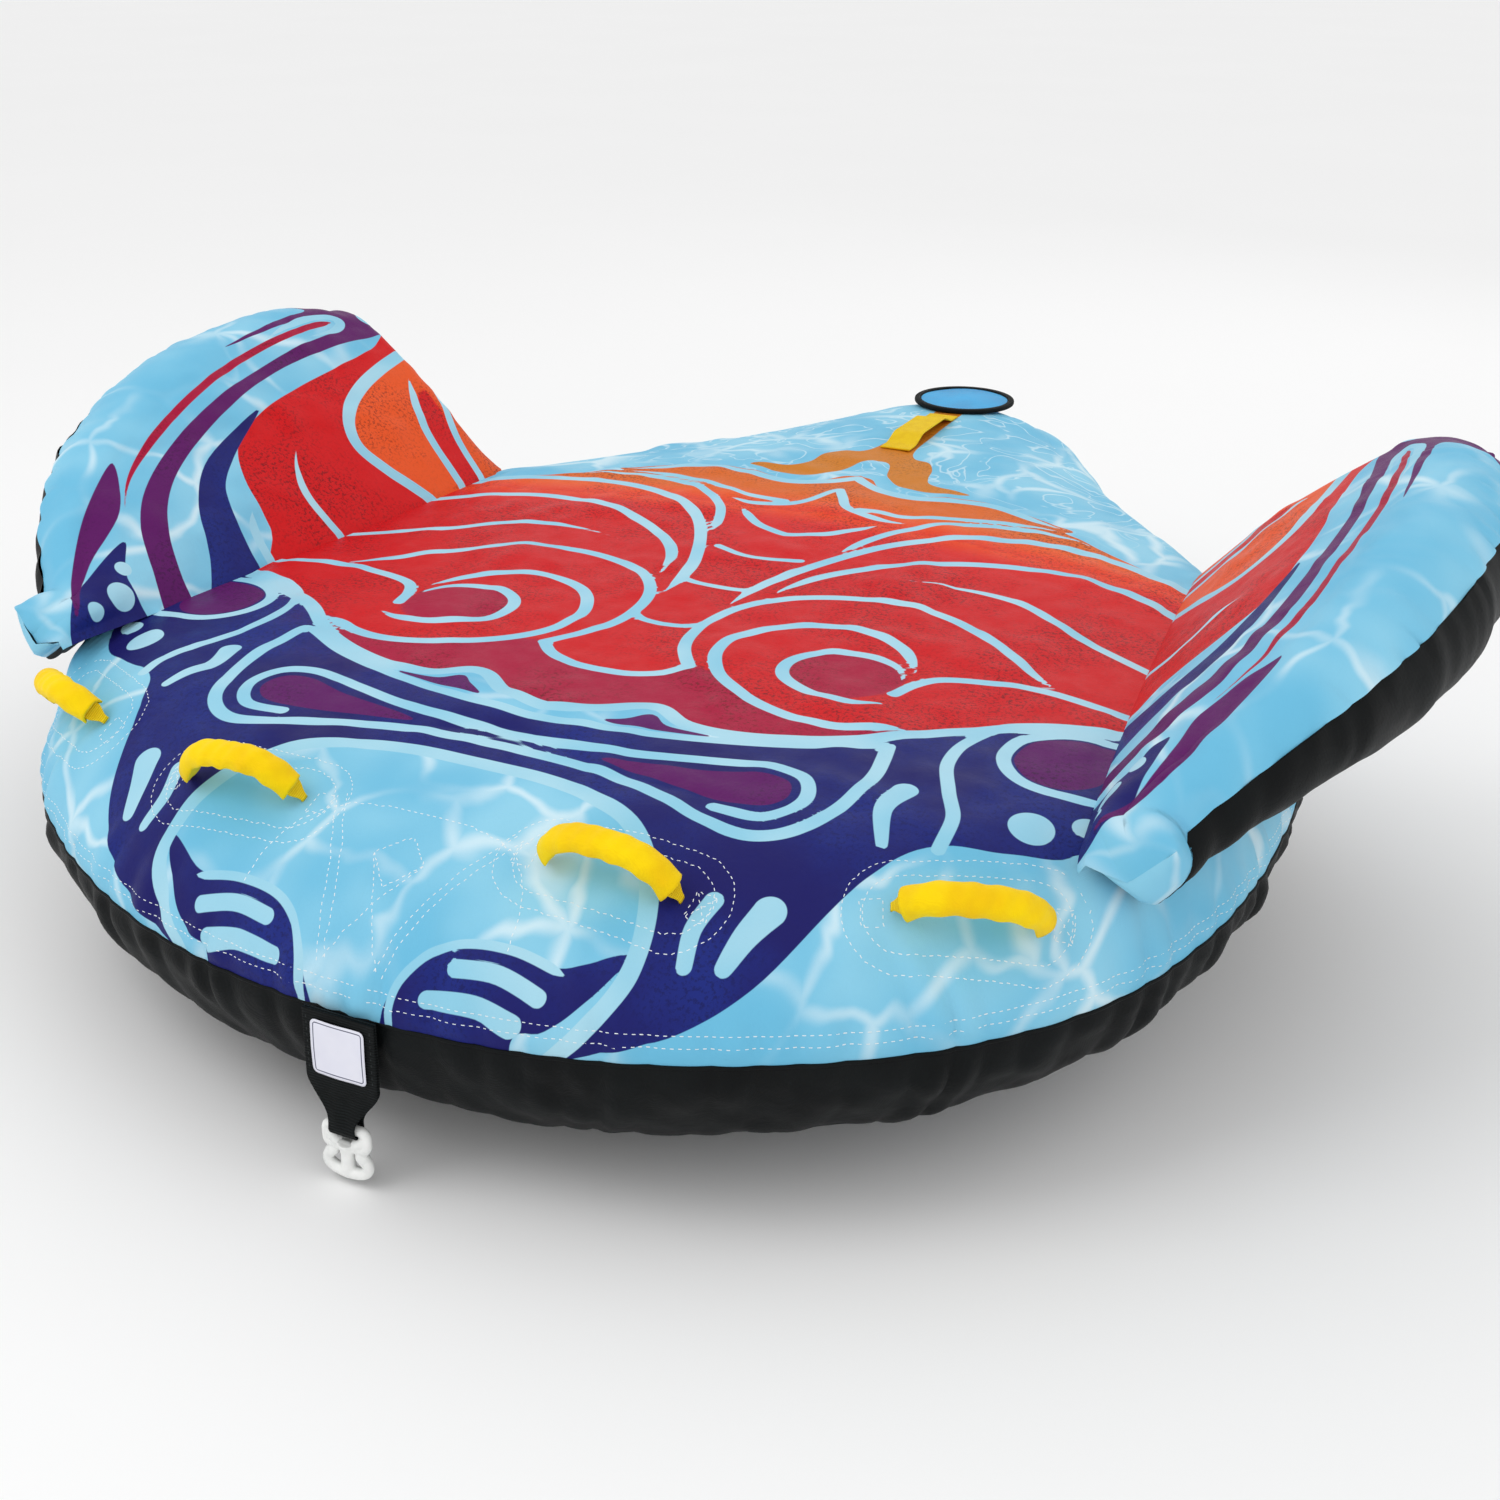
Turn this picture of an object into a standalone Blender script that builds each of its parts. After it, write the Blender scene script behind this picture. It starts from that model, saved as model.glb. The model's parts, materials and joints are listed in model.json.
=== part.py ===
"""Winged towable tube: an inflated deck with two inflated side wings, four grab handles,
a tow strap with a quick-connect hook, and a valve under a round flap on the tail.

Metres, +Z up.  The origin is on the floor under the middle of the tube.  The tow end
points along -Y, the tail along +Y, and the tube is symmetrical about the plane X = 0.
"""
import math

import bmesh
import bpy
from mathutils import Matrix, Vector
from mathutils.bvhtree import BVHTree

NAME = "towable_tube"

# ---- driving dimensions ------------------------------------------------------------------
DECK_Z = 0.360          # height of the riders' deck
HEM_Z = 0.193           # seam between the printed top cover and the black bottom cover
HEM_LIFT = 0.030        # how much higher the seam runs at the sides
BELLY_Z = 0.055         # lower end of the rounded side
BELLY_LIFT = 0.060      # how much higher that is at the sides
HALF_WIDTH = 0.760      # where the lifts are reached
BELLY_ROUND = 0.115     # width of the lower rounding
REST_HALF_LENGTH = 0.45  # the flat resting patch runs this far fore and aft
TAIL_RISE = 0.085       # how far the tail's underside stands clear of the floor
SPINE_FRONT = -0.50     # ends of the centre line that the deck's rows start from
SPINE_REAR = 0.83
CROWN_FRONT = 0.012     # the deck's rise on its centre line
CROWN_REAR = 0.030

# Half outline of the deck at the hem, from the nose to the tail tip:
# x, y, and the width of the upper rounding there.
DECK_STATIONS = [
    (0.000, -0.962, 0.340),
    (0.190, -0.947, 0.330),
    (0.370, -0.892, 0.300),
    (0.545, -0.790, 0.260),
    (0.672, -0.650, 0.210),
    (0.738, -0.470, 0.155),
    (0.760, -0.260, 0.177),
    (0.745, -0.030, 0.182),
    (0.660, 0.200, 0.116),
    (0.520, 0.400, 0.100),
    (0.385, 0.590, 0.100),
    (0.295, 0.760, 0.100),
    (0.205, 0.905, 0.100),
    (0.105, 0.978, 0.100),
    (0.000, 0.993, 0.100),
]

WING_SLOPE = math.radians(42.5)
WING_THICK = 0.165
WING_THICK_FRONT = 0.085
WING_EDGE_RADIUS = 0.080
WING_END_BULGE = 0.045
WING_CROWN = 0.012
WING_ROOT_THICK = 0.006
BLADDER_ROOT = 0.045    # the wing's bladder starts this far up from the fold
WING_GAP = 0.0060       # between the wing and the deck along the fold
CREASE = (0.5620, -0.075, 0.050)    # fold line: x = a + b y + c y^2
WING_FRONT_Y = -0.605
WING_REAR_Y = 0.200
# The wing's top edge: y, and the distance up the slope from the fold.
WING_TOP = [
    (-0.590, 0.080),
    (-0.495, 0.200),
    (-0.355, 0.305),
    (-0.180, 0.382),
    (0.000, 0.412),
    (0.125, 0.412),
    (0.215, 0.382),
]

WING_SEAM = 2.05        # step where the printed panel meets the black back
WING_END_SEAM = 0.75    # the same seam on the rounded ends
WING_STEP_GAP = 0.030   # room between the two panels, in steps across the wing
WING_ROW_GAP = 0.075    # and in rows at its ends
WING_ROWS = [0.0, 0.12, 0.25, 0.4, 0.55, 0.7, 0.85, 1.0]
WING_ENDS = [0.40, WING_END_SEAM, 0.93]
WING_STEPS = [0.0, 0.33, 0.67, 1.0, 1.35, 1.7, WING_SEAM, 2.4, 2.7, 3.0, 3.25, 3.5, 3.75, 4.0]
# Rows round the deck, and steps from its centre line to the hem and on below it.
DECK_ROWS = [0.0, 0.5, 1.0, 1.5, 2.0, 2.5, 3.0, 3.5, 4.0, 5.0, 6.0, 7.0, 8.0, 9.0, 10.0, 11.0,
             11.7, 12.4, 13.0, 13.5, 14.0]
TOP_STEPS = [0.0, 0.5, 1.0, 1.17, 1.34, 1.5, 1.67, 1.84]
BOTTOM_STEPS = [2.33, 2.67, 3.0, 3.25, 3.55, 4.0]

COVER = 0.0015          # coated fabric with its seam allowances
BLADDER_GAP = 0.0036    # between the cover and the bladder inside it
BLADDER = 0.0018        # vinyl wall
SEAM_GAP = 0.0004       # half the gap between two cover panels
CLEAR = 0.0004          # gap between neighbours that touch
HEM_STEP = SEAM_GAP / (HEM_Z - BELLY_Z) * 2.0 / math.pi

HANDLE_SPAN = 0.152     # between the slits that a handle comes out of
HANDLE_RISE = 0.050
HANDLE_SEAT = 0.0030    # the webbing's ends above the cover
GRIP_RADIUS = 0.0165
GRIP_BORE = 0.0128
GRIP_COVERAGE = 0.86    # share of the handle's span that the grip covers
WEB_WIDTH = 0.023
WEB_THICK = 0.0028
WEB_END_WIDTHS = [0.0064, 0.0145]   # gathered where it passes through the slit
HANDLES = {             # centre x, centre y and turn about Z of each right-hand handle
    "inner": (0.222, -0.818, math.radians(0.0)),
    "outer": (0.549, -0.708, math.radians(30.0)),
}

STRAP_WIDTH = 0.086     # tow webbing, doubled round the hook's bar
STRAP_TIP_WIDTH = 0.032
STRAP_THICK = 0.0026
STRAP_LENGTH = 0.130    # from the hook's bar up to the seam
STRAP_EYE_GAP = 0.0012  # between the strap's loop and the hook's bar
STRAP_GATHER = (0.004, 0.046)   # heights between which it narrows to the tip
STRAP_Y = -0.973
HOOK_Z = 0.066          # height of the hook's bar
HOOK_BAR_HALF = 0.0055
HOOK_RING_X = 0.0180
HOOK_RING_Z = (-0.0060, -0.0160)    # centres of the ring's corners
HOOK_RING_ROUND = 0.0060
HOOK_STEM_Z = (-0.0215, -0.0510)
HOOK_STEM_RADIUS = 0.0078
HOOK_ARM_RADIUS = 0.0066
HOOK_ARM = [            # one arm from its tip to the middle: x, z
    (0.0195, -0.0330),
    (0.0245, -0.0385),
    (0.0235, -0.0455),
    (0.0170, -0.0500),
    (0.0085, -0.0515),
]
LABEL_SIZE = (0.064, 0.0006, 0.062)
LABEL_HEIGHT = 0.090    # its middle above the hook's bar

FLAP_Y = 0.868          # valve flap on the tail
FLAP_RADIUS = 0.086
FLAP_THICK = 0.005
BINDING = 0.0040        # half the width of the bound edge
VALVE_RADIUS = 0.030
WING_VALVE_RADIUS = 0.016
WING_VALVE_STEP = 3.22
VALVE_LIP = -0.004      # a valve's rim, its foot and its floor, from the cover's surface
VALVE_DEPTH = -0.036
VALVE_FLOOR = 0.006
VALVE_MOUTH = 0.8       # radius of its mouth and of its air way, as shares of its own
VALVE_PORT = 0.4

GRAB_Y = (0.530, 0.762)     # yellow strap on the tail
GRAB_WIDTH = 0.050
GRAB_THICK = 0.003
GRAB_ARCH = 0.012

ZIP_Y = (0.500, 0.800)
ZIP_WIDTH = 0.030
ZIP_THICK = 0.0016
SLIDER_Y = 0.525
SLIDER_SIZE = (0.014, 0.030, 0.006)

PATCH = 0.0012          # reinforcements sewn inside the top cover
# The rows and steps of the deck's skin that each reinforcement spans.
PATCHES = {
    "inner": ([1.0, 1.5, 2.0, 2.5], [1.17, 1.34, 1.5]),
    "outer": ([3.0, 3.5, 4.0], [1.34, 1.5, 1.67]),
}
TOW_PATCH_STEPS = [1.5, 1.67, 1.84]

COLOURS = {
    "light_blue": (0.27, 0.62, 0.84),
    "black": (0.010, 0.013, 0.014),
    "yellow": (1.0, 0.72, 0.0),
    "white": (0.80, 0.82, 0.80),
    "disc_blue": (0.0, 0.36, 0.73),
    "vinyl": (0.05, 0.07, 0.10),
    "label": (0.78, 0.78, 0.88),
    "grey": (0.16, 0.17, 0.18),
}


# ---- scene helpers -----------------------------------------------------------------------
def clear_scene():
    for old in list(bpy.data.objects):
        bpy.data.objects.remove(old, do_unlink=True)


def new_collection(name):
    group = bpy.data.collections.new(name)
    bpy.context.scene.collection.children.link(group)
    return group


def material(name, colour, roughness=0.5, metallic=0.0):
    made = bpy.data.materials.new(name)
    made.use_nodes = True
    shader = made.node_tree.nodes["Principled BSDF"]
    shader.inputs["Base Color"].default_value = (*COLOURS[colour], 1.0)
    shader.inputs["Roughness"].default_value = roughness
    shader.inputs["Metallic"].default_value = metallic
    made.diffuse_color = (*COLOURS[colour], 1.0)
    return made


def finish_mesh(name, bm, colour, roughness=0.5, group=None):
    """Turn a bmesh into a named object with its own material."""
    mesh = bpy.data.meshes.new(name)
    bm.to_mesh(mesh)
    bm.free()
    mesh.materials.append(material(name + "_surface", colour, roughness))
    mesh.shade_smooth()
    mesh.set_sharp_from_angle(angle=math.radians(40.0))
    obj = bpy.data.objects.new(name, mesh)
    (group or PARTS).objects.link(obj)
    return obj


def solidify(obj, thickness, offset=-1.0):
    wall = obj.modifiers.new("wall", "SOLIDIFY")
    wall.thickness = thickness
    wall.offset = offset
    return wall


def cut(obj, cutter):
    hole = obj.modifiers.new("hole", "BOOLEAN")
    hole.operation = "DIFFERENCE"
    hole.object = cutter
    return hole


def rod_cutter(name, centre, axis, radius, depth):
    """A cylinder to cut with, along the axis and centred on a point."""
    bm = bmesh.new()
    bmesh.ops.create_cone(bm, cap_ends=True, segments=24, radius1=radius, radius2=radius, depth=depth)
    turn = Vector(axis).to_track_quat("Z", "Y").to_matrix().to_4x4()
    bmesh.ops.transform(bm, matrix=Matrix.Translation(centre) @ turn, verts=bm.verts)
    mesh = bpy.data.meshes.new(name)
    bm.to_mesh(mesh)
    bm.free()
    obj = bpy.data.objects.new(name, mesh)
    CUTTERS.objects.link(obj)
    obj.hide_render = True
    obj.display_type = "WIRE"
    return obj


def box(name, size, matrix, colour, bevel=0.0, roughness=0.5):
    """A block of the given size, placed by a matrix, with its long edges eased."""
    bm = bmesh.new()
    bmesh.ops.create_cube(bm, size=1.0)
    bmesh.ops.scale(bm, vec=size, verts=bm.verts)
    if bevel:
        bmesh.ops.bevel(bm, geom=bm.edges, offset=bevel, segments=1, affect="EDGES")
    obj = finish_mesh(name, bm, colour, roughness)
    obj.matrix_world = matrix
    return obj


def turned(name, profile, colour, location, axis=(0, 0, 1), steps=24, roughness=0.5):
    """A turned piece: a closed profile of (radius, height) spun round the axis."""
    bm = bmesh.new()
    verts = [bm.verts.new((radius, 0.0, height)) for radius, height in profile]
    for here, there in zip(verts, verts[1:] + verts[:1]):
        on_axis = here.co.x == 0.0 and there.co.x == 0.0
        if not on_axis:
            bm.edges.new((here, there))
    obj = finish_mesh(name, bm, colour, roughness)
    spin = obj.modifiers.new("spin", "SCREW")
    spin.axis = "Z"
    spin.steps = steps
    spin.render_steps = steps
    spin.use_merge_vertices = True
    spin.merge_threshold = 1e-5
    turn = Vector(axis).to_track_quat("Z", "Y").to_matrix().to_4x4()
    obj.matrix_world = Matrix.Translation(location) @ turn
    return obj


# ---- curves ------------------------------------------------------------------------------
def spline(points, t):
    """Smooth curve through a list of tuples; t runs from 0 to the last index."""
    last = len(points) - 1
    i = min(int(t), last - 1)
    f = t - i
    before = points[max(i - 1, 0)]
    start = points[i]
    end = points[i + 1]
    after = points[min(i + 2, last)]
    out = []
    for a, b, c, d in zip(before, start, end, after):
        out.append(0.5 * (2 * b + (c - a) * f + (2 * a - 5 * b + 4 * c - d) * f * f
                          + (3 * b - a - 3 * c + d) * f * f * f))
    return out


def mix(a, b, f):
    return a + (b - a) * f


def smoothstep(f):
    f = min(max(f, 0.0), 1.0)
    return f * f * (3.0 - 2.0 * f)


def tube(points, radius, closed=False, caps=True):
    """The skin of a tube along the points, as a bmesh."""
    curve = bpy.data.curves.new("tube", "CURVE")
    curve.dimensions = "3D"
    curve.bevel_depth = radius
    curve.bevel_resolution = 3
    curve.use_fill_caps = caps
    line = curve.splines.new("POLY")
    line.points.add(len(points) - 1)
    line.use_cyclic_u = closed
    for point, co in zip(line.points, points):
        point.co = (*co, 1.0)
    guide = bpy.data.objects.new("tube_guide", curve)
    CUTTERS.objects.link(guide)
    mesh = bpy.data.meshes.new_from_object(guide.evaluated_get(bpy.context.evaluated_depsgraph_get()))
    bpy.data.objects.remove(guide, do_unlink=True)
    bm = bmesh.new()
    bm.from_mesh(mesh)
    bpy.data.meshes.remove(mesh)
    bmesh.ops.remove_doubles(bm, verts=bm.verts, dist=1e-6)
    bmesh.ops.recalc_face_normals(bm, faces=bm.faces)
    return bm


# ---- deck --------------------------------------------------------------------------------
def deck_outline(t):
    """x, y and rounding width at t, from 0 at the nose to the last station at the tail."""
    last = len(DECK_STATIONS) - 1
    mirrored = [(-x, y, w) for x, y, w in DECK_STATIONS[1:2]]
    beyond = [(-x, y, w) for x, y, w in DECK_STATIONS[last - 1:last]]
    return spline(mirrored + DECK_STATIONS + beyond, t + 1.0)


def crown(y):
    return mix(CROWN_FRONT, CROWN_REAR, smoothstep((y + 0.1) / 0.7))


def belly(y):
    """Height of the underside on the centre line: flat, then rising towards the tail."""
    return TAIL_RISE * max(0.0, y - REST_HALF_LENGTH) / (1.0 - REST_HALF_LENGTH)


def deck_point(t, p):
    """A point of the deck's skin.  p runs 0 centre line, 1 fold, 2 hem, 3 belly, 4 centre."""
    x, y, width = deck_outline(t)
    lift = (x / HALF_WIDTH) ** 2
    hem = HEM_Z + HEM_LIFT * lift
    spine_y = min(max(y, SPINE_FRONT), SPINE_REAR)
    row = Vector((x, y - spine_y, 0.0))
    reach = row.length
    row.normalize()
    if p <= 1.0:
        r = (reach - width) * p
        z = DECK_Z + crown(spine_y) * (1.0 - p ** 3)
    elif p <= 2.0:
        phi = (2.0 - p) * 0.5 * math.pi
        r = reach - width * (1.0 - math.cos(phi))
        z = hem + (DECK_Z - hem) * math.sin(phi)
    elif p <= 3.0:
        phi = (p - 2.0) * 0.5 * math.pi
        low = BELLY_Z + BELLY_LIFT * lift + belly(spine_y)
        r = reach - BELLY_ROUND * (1.0 - math.cos(phi))
        z = hem - (hem - low) * math.sin(phi)
    else:
        f = 4.0 - p
        r = (reach - BELLY_ROUND) * f
        z = belly(spine_y) + (BELLY_Z + BELLY_LIFT * lift) * smoothstep((f - 0.45) / 0.55)
    return Vector((row.x * r, spine_y + row.y * r, z))


def triangulate(bm):
    bmesh.ops.triangulate(bm, faces=bm.faces, quad_method="FIXED", ngon_method="EAR_CLIP")


def deck_skin(steps):
    """The deck's skin between the given steps, all the way round."""
    bm = bmesh.new()
    half = [(t, 1.0) for t in DECK_ROWS]
    rows = half + [(t, -1.0) for t in reversed(DECK_ROWS[1:-1])]
    lines = []
    for t, side in rows:
        line = []
        for p in steps:
            point = deck_point(t, p)
            point.x *= side
            line.append(bm.verts.new(point))
        lines.append(line)
    for here, there in zip(lines, lines[1:] + lines[:1]):
        for k in range(len(steps) - 1):
            corners = (here[k], here[k + 1], there[k + 1], there[k])
            bm.faces.new(corners)
    bmesh.ops.remove_doubles(bm, verts=bm.verts, dist=1e-5)
    triangulate(bm)
    bmesh.ops.recalc_face_normals(bm, faces=bm.faces)
    face_outward(bm, Vector((0.0, 0.0, 0.2)))
    return bm


def face_outward(bm, centre):
    """Flip all faces if they look towards the centre."""
    vote = sum(face.normal.dot(face.calc_center_median() - centre) * face.calc_area() for face in bm.faces)
    if vote < 0.0:
        bmesh.ops.reverse_faces(bm, faces=bm.faces)


def inset(bm, depth):
    """Move a skin inwards along its normals, keeping its facets parallel."""
    bm.normal_update()
    moves = []
    for vert in bm.verts:
        facing = vert.normal
        tilt = min((facing.dot(face.normal) for face in vert.link_faces), default=1.0)
        moves.append((vert, facing * (-depth / max(tilt, 0.6))))
    for vert, move in moves:
        vert.co += move


def make_deck():
    valve_hole = rod_cutter("valve_hole", (0.0, FLAP_Y, DECK_Z), (0, 0, 1), VALVE_RADIUS + 0.003, 0.16)
    top = finish_mesh("deck_top_cover", deck_skin(TOP_STEPS + [2.0 - HEM_STEP]), "light_blue", 0.45)
    solidify(top, COVER)
    cut(top, valve_hole)
    bottom = finish_mesh("deck_bottom_cover", deck_skin([2.0 + HEM_STEP] + BOTTOM_STEPS), "black", 0.6)
    solidify(bottom, COVER)
    skin = deck_skin(TOP_STEPS + [2.0] + BOTTOM_STEPS)
    inset(skin, COVER + BLADDER_GAP)
    bladder = finish_mesh("deck_bladder", skin, "vinyl", 0.35)
    solidify(bladder, BLADDER)
    cut(bladder, valve_hole)
    return top


# ---- wings -------------------------------------------------------------------------------
def crease(y):
    a, b, c = CREASE
    return a + b * y + c * y * y


def wing_section(f, length, thick, root):
    """Section of a wing across the fold, as (up the slope, below the top face) at step f.

    0 fold, 1 end of the top face, 2 middle of the outer edge, 3 underside, 4 root again.
    The bladder's section starts at root, a little up the slope from the fold.
    """
    radius = min(WING_EDGE_RADIUS, 0.5 * thick, 0.45 * length)
    flat = length - radius
    root = min(root, 0.4 * flat)
    if f <= 1.0:
        s = mix(root, flat, f)
        return s, -WING_CROWN * math.sin(math.pi * s / flat)
    if f <= 3.0:
        phi = (f - 1.0) * 0.5 * math.pi
        return flat + radius * math.sin(phi), 0.5 * thick * (1.0 - math.cos(phi))
    under = [(flat, thick), (0.64 * flat, 1.02 * thick), (0.34 * flat, 0.94 * thick),
             (0.13 * flat, 0.25 * thick), (0.0, WING_ROOT_THICK)]
    if root:
        under[-1] = (root, 0.12 * thick)
        under[-2] = (1.4 * root, 0.34 * thick)
    s, n = spline(under, (f - 3.0) * (len(under) - 1))
    return s, n


def wing_point(v, f, root=0.0):
    """A point of the right wing's skin: v runs along it, with rounded ends beyond 0 and 1."""
    inner = min(max(v, 0.0), 1.0)
    base_y = mix(WING_FRONT_Y, WING_REAR_Y, inner)
    top_y, length = spline(WING_TOP, inner * (len(WING_TOP) - 1))
    thick = mix(WING_THICK_FRONT, WING_THICK, smoothstep(inner / 0.5))
    s, n = wing_section(f, length, thick, root)
    over = (v - 1.0) if v > 1.0 else (v if v < 0.0 else 0.0)
    share = s / length
    y = mix(base_y, top_y, share)
    if over:
        phi = min(abs(over), 1.0) * 0.5 * math.pi
        middle = 0.5 * thick * min(1.0, share * 3.0 + 0.15)
        n = middle + (n - middle) * math.cos(phi)
        y += math.copysign(WING_END_BULGE * math.sin(phi), over)
    x = crease(y) + WING_GAP + s * math.cos(WING_SLOPE) + n * math.sin(WING_SLOPE)
    z = DECK_Z + WING_GAP + s * math.sin(WING_SLOPE) - n * math.cos(WING_SLOPE)
    return Vector((x, y, z))


def wing_skin(side, part):
    """Skin of one wing: part is top (the printed panel), back (the rest) or bladder."""
    ends = WING_ENDS[:1] if part == "bladder" else WING_ENDS
    rows = [-e for e in reversed(ends)] + WING_ROWS + [1.0 + e for e in ends]
    steps = list(WING_STEPS)
    seam_step = steps.index(WING_SEAM)
    beside = ends.index(WING_END_SEAM) + 1 if part != "bladder" else 0
    first = len(ends) - beside
    last = len(rows) - 1 - first
    if part == "top":
        rows = rows[first:last + 1]
        rows[0] += WING_ROW_GAP
        rows[-1] -= WING_ROW_GAP
        steps = steps[:seam_step + 1]
        steps[-1] -= WING_STEP_GAP
    bm = bmesh.new()
    lines = []
    for v in rows:
        line = []
        for f in steps:
            point = wing_point(v, f, BLADDER_ROOT if part == "bladder" else 0.0)
            point.x *= side
            line.append(bm.verts.new(point))
        lines.append(line)
    count = len(steps)
    for i in range(len(rows) - 1):
        under_panel = part == "back" and first <= i < last
        for k in range(count):
            wraps = k == count - 1
            if (wraps and part == "top") or (under_panel and (k < seam_step or wraps)):
                continue
            n = (k + 1) % count
            bm.faces.new((lines[i][k], lines[i + 1][k], lines[i + 1][n], lines[i][n]))
    if part != "top":
        bm.faces.new(lines[0])
        bm.faces.new(list(reversed(lines[-1])))
    bmesh.ops.recalc_face_normals(bm, faces=bm.faces)
    middle = sum((wing_point(0.5, f) for f in (0.5, 3.3)), Vector()) * 0.5
    face_outward(bm, Vector((middle.x * side, middle.y, middle.z)))
    return bm


def make_wing(side, word):
    top = wing_skin(side, "top")
    triangulate(top)
    solidify(finish_mesh("wing_top_cover_" + word, top, "light_blue", 0.45), COVER)
    back = wing_skin(side, "back")
    triangulate(back)
    back = finish_mesh("wing_back_cover_" + word, back, "black", 0.6)
    solidify(back, COVER)
    skin = wing_skin(side, "bladder")
    triangulate(skin)
    inset(skin, COVER + 1.8 * BLADDER_GAP)
    bladder = finish_mesh("wing_bladder_" + word, skin, "vinyl", 0.35)
    solidify(bladder, BLADDER)
    centre, outward = wing_valve_place(side)
    hole = rod_cutter("wing_valve_hole_" + word, centre, outward, WING_VALVE_RADIUS + 0.002, 0.05)
    cut(back, hole)
    cut(bladder, hole)
    make_valve("wing_valve", "_" + word, centre, outward, WING_VALVE_RADIUS)


def wing_valve_place(side):
    """Centre of the wing's valve on its back, and the way it faces."""
    point = wing_point(0.80, WING_VALVE_STEP)
    along = wing_point(0.85, WING_VALVE_STEP) - wing_point(0.75, WING_VALVE_STEP)
    across = wing_point(0.80, WING_VALVE_STEP + 0.05) - wing_point(0.80, WING_VALVE_STEP - 0.05)
    outward = along.cross(across).normalized()
    if outward.z > 0.0:
        outward.negate()
    point.x *= side
    outward.x *= side
    return point, outward


# ---- valves ------------------------------------------------------------------------------
def make_valve(name, suffix, centre, outward, radius):
    """A round valve body set into a hole, with a screw cap in its mouth."""
    lip = VALVE_LIP
    depth = VALVE_DEPTH
    mouth = VALVE_MOUTH * radius
    port = VALVE_PORT * radius
    body = [(radius, lip), (radius, depth), (port, depth), (port, depth + VALVE_FLOOR),
            (mouth, depth + VALVE_FLOOR + 0.002), (mouth, lip)]
    turned(name + "_body" + suffix, body, "grey", centre, outward, roughness=0.45)
    rim = mouth - CLEAR
    low = depth + VALVE_FLOOR + 0.004
    shelf = lip - 0.006
    cap = [(0.0, lip - 0.001), (0.30 * radius, lip - 0.001), (0.36 * radius, shelf),
           (rim - 0.001, shelf), (rim, shelf - 0.001), (rim, low), (0.0, low)]
    turned(name + "_cap" + suffix, cap, "grey", centre, outward, roughness=0.4)


# ---- handles -----------------------------------------------------------------------------
def seat(cover, x, y):
    """The cover's surface at x, y: a point, and the way it faces."""
    tree = BVHTree.FromObject(cover, bpy.context.evaluated_depsgraph_get())
    hit, normal, _, _ = tree.ray_cast(Vector((x, y, 1.0)), Vector((0.0, 0.0, -1.0)))
    return hit, normal


def handle_frame(cover, x, y, turn):
    """Axes of a handle: X from slit to slit, Z away from the deck."""
    low = seat(cover, x - 0.5 * HANDLE_SPAN * math.cos(turn), y - 0.5 * HANDLE_SPAN * math.sin(turn))[0]
    high = seat(cover, x + 0.5 * HANDLE_SPAN * math.cos(turn), y + 0.5 * HANDLE_SPAN * math.sin(turn))[0]
    middle, normal = seat(cover, x, y)
    along = (high - low).normalized()
    across = normal.cross(along).normalized()
    up = along.cross(across).normalized()
    lift = max((low - middle).dot(up), (high - middle).dot(up), 0.0)
    frame = Matrix((along, across, up)).transposed().to_4x4()
    frame.translation = middle + up * (lift + HANDLE_SEAT)
    return frame


def handle_arch(x):
    """Height of the handle's centre line at x from its middle."""
    share = min(abs(x) / (0.5 * HANDLE_SPAN), 1.0)
    return HANDLE_RISE * (1.0 - share ** 3.2)


def strap_strip(name, path, widths, colour, across, thickness, matrix=None, roughness=0.6):
    """A flat strap along a path of points, with a width at each."""
    bm = bmesh.new()
    pairs = []
    for point, width in zip(path, widths):
        half = Vector(across) * (0.5 * width)
        pairs.append((bm.verts.new(Vector(point) - half), bm.verts.new(Vector(point) + half)))
    for here, there in zip(pairs, pairs[1:]):
        bm.faces.new((here[0], here[1], there[1], there[0]))
    triangulate(bm)
    obj = finish_mesh(name, bm, colour, roughness)
    if matrix is not None:
        obj.matrix_world = matrix
    solidify(obj, thickness, 0.0)
    return obj


def make_handle(cover, name, x, y, turn):
    frame = handle_frame(cover, x, y, turn)
    half = 0.5 * HANDLE_SPAN
    path = []
    for k in range(15):
        px = -half * math.cos(math.pi * k / 14)
        path.append((px, 0.0, handle_arch(px)))
    widths = WEB_END_WIDTHS + [WEB_WIDTH] * (len(path) - 4) + WEB_END_WIDTHS[::-1]
    strap_strip("handle_webbing_" + name, path, widths, "yellow", (0, 1, 0), WEB_THICK, frame)
    points = []
    for k in range(11):
        px = GRIP_COVERAGE * half * (2.0 * k / 10 - 1.0)
        points.append((px, 0.0, handle_arch(px)))
    grip = finish_mesh("handle_grip_" + name, tube(points, GRIP_RADIUS, caps=False), "yellow", 0.7)
    grip.matrix_world = frame
    solidify(grip, GRIP_RADIUS - GRIP_BORE)


def deck_normal(t, p):
    """The way the deck's skin faces at a point of its right half."""
    step = 0.02
    along = deck_point(t + step, p) - deck_point(max(t - step, 0.0), p)
    across = deck_point(t, p + step) - deck_point(t, p - step)
    facing = along.cross(across).normalized()
    return facing if facing.z > 0.0 else -facing


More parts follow.
